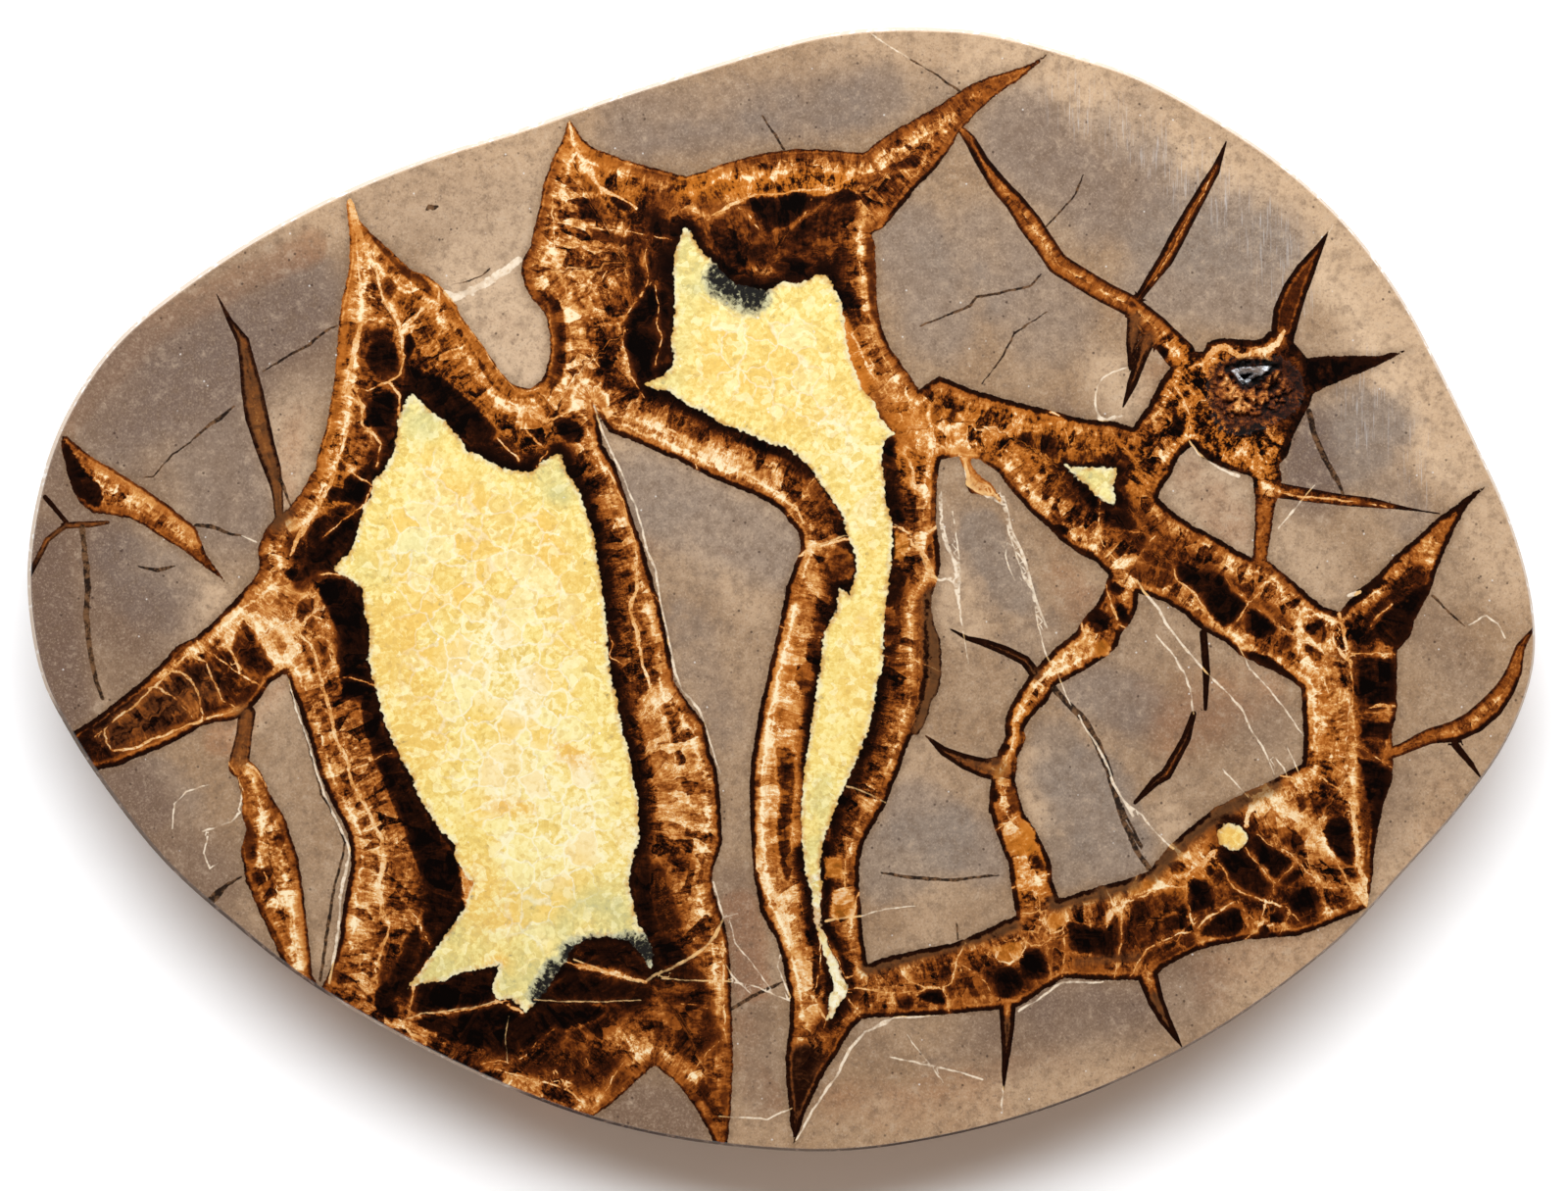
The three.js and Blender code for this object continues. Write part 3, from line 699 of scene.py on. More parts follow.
    "toe_b": [(734, 1062, 0.8), (720, 1076, 1), (708, 1092, 1), (696, 1092, 0.8)],
    "toe_c": [(724, 968, 0.8), (746, 970, 0.6)],
    "toe_band": [(738, 960, 1.8), (738, 1000, 2), (739, 1032, 2), (740, 1060, 1.5)],
    "toe_d": [(710, 860, 0.8), (720, 874, 0.8)],
    "lens_crescent": [(269, 889, 1), (273, 896, 1.4), (273, 903, 1)],
    "lens_d": [(272, 866, 1), (280, 876, 1.6), (287, 886, 2), (291, 892, 1.5)],
    "lens_spine": [
        (290, 900, 1.5), (294, 912, 2), (292, 922, 2.2), (296, 934, 2.2), (296, 948, 1.8),
        (302, 955, 1.8), (302, 968, 1.8), (306, 978, 1.8), (309, 990, 2),
    ],
    "head_inner": [(668, 290, 1), (672, 310, 1), (670, 330, 1.2), (676, 345, 1), (668, 372, 0.8)],
    "vug_arch": [
        (1226, 372, 2), (1232, 364, 3), (1240, 356, 3.5), (1250, 354, 3.5), (1260, 360, 3),
        (1266, 364, 3), (1280, 360, 3), (1294, 356, 3), (1304, 350, 3), (1310, 338, 2.5),
    ],
    "vug_core": [
        (1298, 500, 1.5), (1312, 503, 2), (1330, 507, 2), (1350, 509, 1.5), (1370, 511, 1.8),
        (1390, 512, 1), (1405, 515, 1.2), (1420, 517, 0.8),
    ],
    "horn_core": [
        (1176, 290, 0.8), (1192, 262, 1.2), (1210, 228, 1.2), (1228, 196, 1), (1240, 172, 0.6),
    ],
    "column_band": [(1396, 722, 1.5), (1408, 720, 2.5), (1424, 720, 2)],
    "spine_core": [
        (1076, 682, 1.5), (1067, 688, 2), (1060, 696, 2.5), (1050, 706, 2.5), (1043, 721, 2.5),
        (1034, 737, 2), (1035, 751, 1.8), (1031, 765, 1.8), (1027, 780, 2), (1021, 790, 1.8),
        (1021, 802, 1.2), (1024, 816, 1.2), (1027, 831, 1.2), (1032, 842, 1.2), (1038, 851, 1.2),
    ],
    "spine_cross": [(1013, 848, 0.8), (1026, 840, 1.2), (1040, 832, 1.2)],
    "spine_top": [(1129, 596, 1.5), (1132, 610, 2), (1136, 624, 2), (1140, 636, 1.8), (1150, 642, 1.2)],
    "spine_left": [(1104, 628, 1.5), (1104, 640, 2), (1110, 652, 2), (1118, 660, 1.5)],
    "run_star": [(985, 962, 1), (1000, 968, 1), (1010, 976, 1), (1018, 980, 0.8)],
    "column_net": [(1046, 862, 1), (1046, 880, 1.2), (1050, 892, 1.2), (1058, 897, 1.2)],
    "column_foot": [(1040, 932, 1), (1052, 932, 1.2), (1062, 928, 1.2)],
    "tail_skin": [
        (836, 900, 0.8), (838, 915, 0.8), (832, 938, 1), (838, 950, 1.2), (846, 962, 1), (856, 980, 1),
        (862, 998, 1),
    ],
    "bay_glow": [(582, 300, 1), (582, 330, 1.2), (582, 364, 1.2), (578, 390, 1)],
    "base_hair": [(600, 1056, 0.7), (596, 1070, 0.9), (600, 1088, 0.7)],
    "base_fibre": [(556, 1092, 1), (570, 1100, 1.5), (584, 1106, 1.2)],
    "base_fringe": [(504, 1090, 1), (530, 1098, 1.5), (556, 1104, 1.8), (580, 1112, 1.5)],
}

# Glassy black cells between the seams, traced on the face.
BLACK_CELLS = {
    "pillar_a": [(1385, 676), (1421, 674), (1422, 722), (1404, 726), (1387, 722)],
    "pillar_b": [(1388, 736), (1420, 738), (1418, 756), (1404, 752), (1390, 752)],
    "pillar_c": [
        (1388, 774), (1418, 780), (1416, 812), (1409, 850), (1402, 868), (1400, 838), (1392, 806),
    ],
    "pillar_d": [
        (1407, 634), (1424, 616), (1442, 600), (1462, 592), (1450, 622), (1433, 650), (1424, 661),
        (1406, 652),
    ],
    "prong": [
        (1336, 367), (1352, 370), (1400, 368), (1438, 362), (1404, 376), (1358, 399), (1340, 396),
    ],
    "strand_a": [(1130, 593), (1140, 595), (1147, 601), (1144, 607), (1136, 608), (1131, 602)],
    "strand_b": [(1110, 629), (1117, 621), (1128, 626), (1133, 631), (1129, 642), (1110, 642)],
    "strand_c": [(1134, 612), (1143, 615), (1151, 623), (1152, 637), (1145, 637), (1136, 624)],
    "margin": [
        (943, 605), (949, 614), (947, 640), (950, 668), (948, 690), (942, 716), (936, 744), (931, 742),
        (936, 712), (941, 690), (942, 650),
    ],
    "margin_top": [(951, 545), (957, 540), (960, 558), (959, 592), (954, 593), (953, 572)],
    "left_a": [
        (376, 352), (384, 346), (396, 344), (404, 350), (407, 362), (409, 374), (404, 380), (390, 384),
        (378, 380), (372, 366),
    ],
    "left_b": [(400, 388), (404, 382), (410, 382), (411, 392), (403, 395)],
    "left_c": [
        (372, 414), (380, 406), (396, 398), (404, 402), (407, 412), (406, 424), (404, 440), (402, 460),
        (396, 470), (386, 478), (382, 478), (392, 460), (388, 448), (380, 440), (374, 428),
    ],
    "left_d": [(340, 474), (350, 471), (354, 476), (352, 482), (344, 480)],
    "left_e": [
        (356, 484), (366, 478), (376, 482), (379, 500), (372, 508), (368, 514), (336, 512), (328, 504),
        (330, 496), (336, 492), (346, 498), (352, 500), (350, 492),
    ],
    "left_f": [
        (322, 530), (332, 525), (342, 530), (352, 526), (360, 518), (366, 522), (364, 534), (360, 546),
        (358, 556), (352, 564), (344, 572), (340, 580), (322, 586), (312, 592), (300, 596), (286, 584),
        (296, 578), (308, 580), (312, 566), (314, 552), (312, 542),
    ],
    "left_edge": [
        (62, 448), (72, 454), (78, 466), (86, 478), (96, 488), (104, 496), (106, 508), (100, 518),
        (88, 516), (76, 504), (68, 484), (64, 466),
    ],
    "low_a": [
        (322, 596), (330, 590), (352, 588), (362, 594), (370, 618), (374, 650), (374, 664), (378, 682),
        (384, 700), (384, 716), (366, 716), (350, 712), (346, 690), (344, 672), (346, 650), (340, 640),
        (336, 626), (326, 606),
    ],
    "low_b": [
        (366, 716), (384, 716), (390, 736), (398, 756), (408, 780), (422, 810), (434, 828), (446, 848),
        (460, 864), (466, 880), (478, 900), (470, 920), (456, 940), (440, 960), (430, 944), (436, 920),
        (430, 896), (420, 870), (412, 846), (400, 820), (392, 800), (380, 770), (372, 745),
    ],
    "low_foot": [
        (404, 980), (412, 962), (420, 948), (430, 940), (430, 960), (424, 990), (410, 1010),
        (404, 1020), (408, 1034), (400, 1044), (388, 1034), (380, 1024), (384, 1010), (398, 994),
    ],
    "spike": [
        (412, 340), (420, 340), (424, 350), (422, 362), (416, 372), (436, 380), (454, 386), (470, 400),
        (484, 412), (496, 426), (508, 440), (500, 452), (480, 456), (460, 436), (440, 414), (420, 396),
        (411, 396), (411, 366),
    ],
    "bay_foot": [
        (561, 424), (566, 420), (575, 424), (592, 430), (596, 440), (592, 450), (580, 452), (572, 448),
        (566, 438),
    ],
    "base_upper": [
        (426, 1006), (440, 1003), (460, 1000), (468, 994), (480, 991), (500, 991), (505, 1000),
        (506, 1012), (504, 1022), (480, 1027), (450, 1031), (425, 1036), (418, 1030), (422, 1016),
    ],
    "base_lower": [
        (420, 1041), (440, 1036), (470, 1034), (500, 1027), (520, 1028), (536, 1035), (545, 1030),
        (555, 1024), (600, 1024), (620, 1028), (612, 1040), (590, 1046), (560, 1056), (545, 1066),
        (520, 1076), (500, 1074), (480, 1068), (460, 1062), (440, 1054), (428, 1048),
    ],
    "base_middle": [
        (552, 1010), (566, 1000), (580, 994), (600, 996), (620, 1000), (640, 1004), (650, 1007),
        (640, 1018), (580, 1020), (556, 1018),
    ],
    "arch": [
        (590, 964), (610, 962), (630, 962), (645, 968), (658, 978), (666, 990), (660, 998), (645, 992),
        (625, 984), (605, 978), (592, 974),
    ],
    "base_side": [
        (652, 875), (662, 872), (668, 890), (664, 910), (668, 930), (672, 950), (690, 960), (700, 975),
        (690, 985), (675, 988), (668, 975), (662, 958), (652, 940), (645, 905), (646, 890),
    ],
    "head_drop": [(620, 200), (632, 200), (644, 204), (648, 212), (640, 216), (626, 212)],
    "head_e": [
        (660, 216), (672, 218), (684, 226), (693, 238), (694, 244), (688, 254), (684, 258), (676, 250),
        (664, 240), (660, 230),
    ],
    "head_f": [(658, 262), (664, 258), (668, 270), (666, 278), (660, 278)],
    "head_g": [
        (662, 290), (650, 306), (642, 320), (634, 332), (636, 348), (640, 366), (642, 382), (650, 392),
        (672, 388), (668, 376), (672, 372), (682, 370), (686, 352), (684, 330), (684, 300), (678, 290),
        (672, 296), (668, 288),
    ],
    "head_l": [
        (745, 212), (754, 208), (764, 202), (780, 200), (800, 200), (812, 194), (836, 200), (850, 198),
        (864, 192), (876, 198), (878, 204), (866, 208), (856, 210), (840, 204), (828, 214), (812, 226),
        (804, 232), (792, 232), (784, 240), (778, 226), (770, 216), (758, 210),
    ],
    "head_m": [
        (787, 270), (800, 262), (815, 262), (830, 270), (834, 282), (828, 290), (812, 290), (802, 286),
        (794, 280),
    ],
    "band_top": [
        (770, 446), (785, 452), (800, 458), (815, 468), (825, 478), (822, 484), (812, 476), (800, 468),
        (785, 464), (770, 460), (750, 450), (756, 442),
    ],
    "right_band_a": [
        (899, 450), (905, 446), (912, 446), (914, 458), (916, 480), (912, 490), (906, 500), (902, 490),
        (898, 470),
    ],
    "right_band_b": [(908, 520), (915, 516), (922, 524), (924, 536), (916, 538), (910, 534)],
    "right_band_c": [
        (909, 580), (918, 576), (926, 590), (922, 605), (914, 615), (906, 620), (905, 600),
    ],
    "right_band_d": [(857, 772), (866, 768), (872, 776), (872, 790), (866, 800), (857, 798)],
    "right_band_e": [
        (846, 806), (856, 802), (868, 808), (870, 818), (860, 826), (848, 826), (842, 820),
    ],
    "tail_right": [(829, 908), (838, 912), (837, 925), (832, 935), (829, 938)],
    "tail_left": [(828, 980), (836, 984), (840, 1000), (838, 1015), (832, 1024), (828, 1010)],
    "junction_e": [(1090, 442), (1098, 438), (1098, 448), (1092, 458), (1088, 450)],
    "junction_g": [(1124, 462), (1132, 464), (1140, 468), (1138, 474), (1128, 473)],
    "junction_h": [
        (1134, 446), (1142, 456), (1152, 466), (1160, 476), (1158, 482), (1150, 478), (1142, 466),
    ],
    "junction_i": [(1139, 484), (1148, 484), (1156, 488), (1150, 496), (1142, 500), (1137, 494)],
    "junction_j": [
        (1086, 481), (1100, 488), (1120, 506), (1133, 519), (1113, 519), (1107, 511), (1099, 500),
        (1090, 490),
    ],
    "junction_k": [
        (1127, 520), (1140, 516), (1152, 520), (1158, 530), (1160, 540), (1150, 542), (1140, 538),
        (1128, 536), (1124, 528),
    ],
    "junction_o": [(1129, 592), (1137, 593), (1147, 600), (1147, 606), (1138, 603), (1131, 601)],
    "middle_wall_a": [
        (1064, 526), (1074, 534), (1084, 534), (1092, 540), (1090, 546), (1080, 546), (1070, 540),
    ],
    "middle_wall_b": [(1092, 548), (1100, 556), (1112, 560), (1120, 566), (1112, 568), (1100, 562)],
    "right_wall": [(954, 538), (958, 538), (960, 590), (955, 592), (953, 570)],
    "spine_a": [
        (1134, 615), (1142, 614), (1150, 620), (1153, 630), (1155, 635), (1149, 640), (1141, 634),
        (1136, 625),
    ],
    "spine_b": [(1110, 631), (1114, 622), (1120, 619), (1128, 624), (1134, 632), (1124, 635)],
    "spine_c": [(1108, 641), (1124, 641), (1136, 637), (1128, 643), (1120, 646), (1108, 646)],
    "spine_d": [(1137, 641), (1144, 644), (1144, 655), (1138, 663), (1131, 668), (1136, 650)],
    "spine_e": [(1058, 674), (1066, 668), (1076, 662), (1080, 668), (1064, 680), (1058, 682)],
    "spine_f": [(1088, 692), (1094, 684), (1106, 683), (1098, 690), (1092, 695)],
    "spine_g": [(1034, 718), (1040, 708), (1045, 705), (1042, 716), (1034, 722)],
    "spine_h": [(1025, 729), (1034, 727), (1035, 735), (1029, 738), (1025, 736)],
    "spine_i": [(1026, 740), (1033, 740), (1034, 750), (1030, 755), (1025, 752)],
    "spine_j": [(1018, 762), (1024, 757), (1031, 758), (1029, 767), (1020, 772)],
    "spine_k": [(1010, 806), (1018, 805), (1022, 812), (1018, 818), (1010, 820)],
    "column_left": [
        (1027, 877), (1033, 878), (1036, 890), (1037, 905), (1041, 920), (1043, 933), (1037, 934),
        (1032, 915), (1029, 900),
    ],
    "column_right": [
        (1062, 864), (1067, 866), (1072, 880), (1073, 892), (1078, 905), (1081, 917), (1076, 914),
        (1070, 900), (1067, 885),
    ],
    "run_a": [
        (1088, 940), (1100, 940), (1112, 945), (1124, 948), (1131, 940), (1136, 931), (1142, 934),
        (1143, 950), (1142, 965), (1138, 978), (1115, 972), (1100, 972), (1090, 966),
    ],
    "run_b": [
        (1038, 968), (1050, 966), (1060, 967), (1066, 975), (1069, 985), (1071, 995), (1062, 1000),
        (1048, 1000), (1040, 990),
    ],
    "run_c": [
        (1016, 988), (1025, 984), (1036, 988), (1044, 996), (1046, 1004), (1042, 1014), (1034, 1019),
        (1020, 1019), (1013, 1008), (1013, 997),
    ],
    "run_d": [
        (934, 1018), (942, 1011), (952, 1009), (960, 1009), (964, 1016), (965, 1024), (955, 1024),
        (943, 1022),
    ],
    "vug_left": [
        (1196, 409), (1200, 416), (1204, 427), (1210, 436), (1210, 441), (1205, 447), (1200, 441),
        (1197, 432),
    ],
    "vug_entry": [(1181, 352), (1188, 350), (1193, 358), (1190, 366), (1184, 364)],
    "vug_horn": [
        (1326, 362), (1340, 364), (1400, 364), (1436, 356), (1420, 366), (1400, 374), (1380, 382),
        (1360, 390), (1345, 398), (1335, 404), (1330, 392), (1328, 376),
    ],
    "diagonal_b": [
        (1201, 571), (1220, 578), (1237, 582), (1253, 590), (1258, 601), (1275, 616), (1270, 625),
        (1263, 632), (1253, 639), (1247, 640), (1239, 632), (1230, 621), (1223, 609), (1213, 601),
        (1204, 594), (1199, 583),
    ],
    "diagonal_c": [
        (1272, 623), (1280, 621), (1291, 627), (1301, 635), (1308, 642), (1298, 647), (1291, 652),
        (1277, 651), (1270, 644), (1271, 633),
    ],
    "diagonal_h": [
        (1268, 664), (1278, 664), (1300, 672), (1310, 680), (1320, 688), (1326, 698), (1316, 694),
        (1300, 684), (1284, 676), (1272, 670),
    ],
    "corner_a": [(1363, 646), (1370, 646), (1376, 656), (1372, 664), (1364, 660)],
    "corner_b": [(1381, 646), (1388, 642), (1398, 646), (1402, 652), (1396, 660), (1384, 660)],
    "corner_c": [
        (1440, 604), (1450, 609), (1447, 623), (1440, 644), (1426, 661), (1414, 659), (1400, 646),
        (1402, 637), (1410, 627), (1422, 616),
    ],
    "corner_d": [
        (1372, 616), (1382, 606), (1396, 590), (1414, 576), (1427, 568), (1433, 573), (1422, 576),
        (1410, 590), (1419, 594), (1403, 602), (1388, 614), (1376, 620),
    ],
    "corner_left_a": [(1329, 710), (1333, 710), (1333, 727), (1329, 727)],
    "corner_left_b": [(1329, 729), (1334, 730), (1334, 745), (1330, 744)],
    "column_a": [
        (1384, 672), (1400, 670), (1422, 670), (1424, 690), (1424, 716), (1404, 716), (1388, 712),
        (1386, 700), (1400, 696), (1386, 688),
    ],
    "column_b": [(1420, 729), (1425, 729), (1424, 762), (1420, 762)],
    "column_c": [(1384, 772), (1398, 776), (1406, 784), (1400, 792), (1390, 786)],
    "column_d": [
        (1400, 782), (1420, 780), (1420, 800), (1412, 822), (1408, 840), (1404, 862), (1400, 860),
        (1398, 820), (1394, 806),
    ],
    "corner_low_a": [(1346, 798), (1356, 800), (1356, 806), (1346, 806)],
    "corner_low_b": [
        (1350, 848), (1358, 836), (1370, 832), (1378, 840), (1382, 856), (1384, 872), (1382, 884),
        (1372, 882), (1362, 872), (1354, 860),
    ],
    "low_right_c": [(1160, 894), (1168, 886), (1172, 892), (1164, 902), (1160, 904)],
    "low_right_e": [(1228, 884), (1236, 882), (1242, 888), (1236, 896), (1230, 892)],
    "low_right_f": [
        (1212, 900), (1222, 898), (1230, 896), (1238, 906), (1240, 918), (1238, 926), (1226, 930),
        (1216, 934), (1212, 922),
    ],
    "low_right_g": [(1184, 936), (1200, 932), (1210, 940), (1208, 948), (1190, 950)],
    "low_right_i": [
        (1240, 872), (1252, 870), (1264, 866), (1272, 868), (1282, 880), (1298, 902), (1296, 912),
        (1288, 918), (1276, 912), (1256, 898), (1250, 884),
    ],
    "low_right_j": [
        (1274, 850), (1284, 852), (1294, 860), (1316, 874), (1322, 884), (1314, 892), (1304, 898),
        (1298, 896), (1290, 884), (1280, 872),
    ],
    "low_right_m": [
        (1312, 890), (1320, 884), (1328, 888), (1326, 898), (1316, 904), (1308, 902), (1304, 896),
    ],
    "low_right_n": [
        (1318, 910), (1328, 904), (1340, 904), (1348, 916), (1342, 926), (1328, 932), (1318, 930),
        (1314, 920),
    ],
    "low_right_p": [(1294, 932), (1306, 928), (1312, 934), (1306, 942), (1296, 942)],
    "low_right_q": [
        (1222, 950), (1234, 940), (1246, 930), (1258, 924), (1266, 928), (1270, 940), (1268, 950),
        (1256, 956), (1226, 956),
    ],
    "low_right_r": [(1282, 946), (1292, 942), (1296, 950), (1290, 956), (1284, 954)],
    "low_right_s": [(1186, 966), (1196, 960), (1202, 958), (1198, 968), (1188, 972)],
}
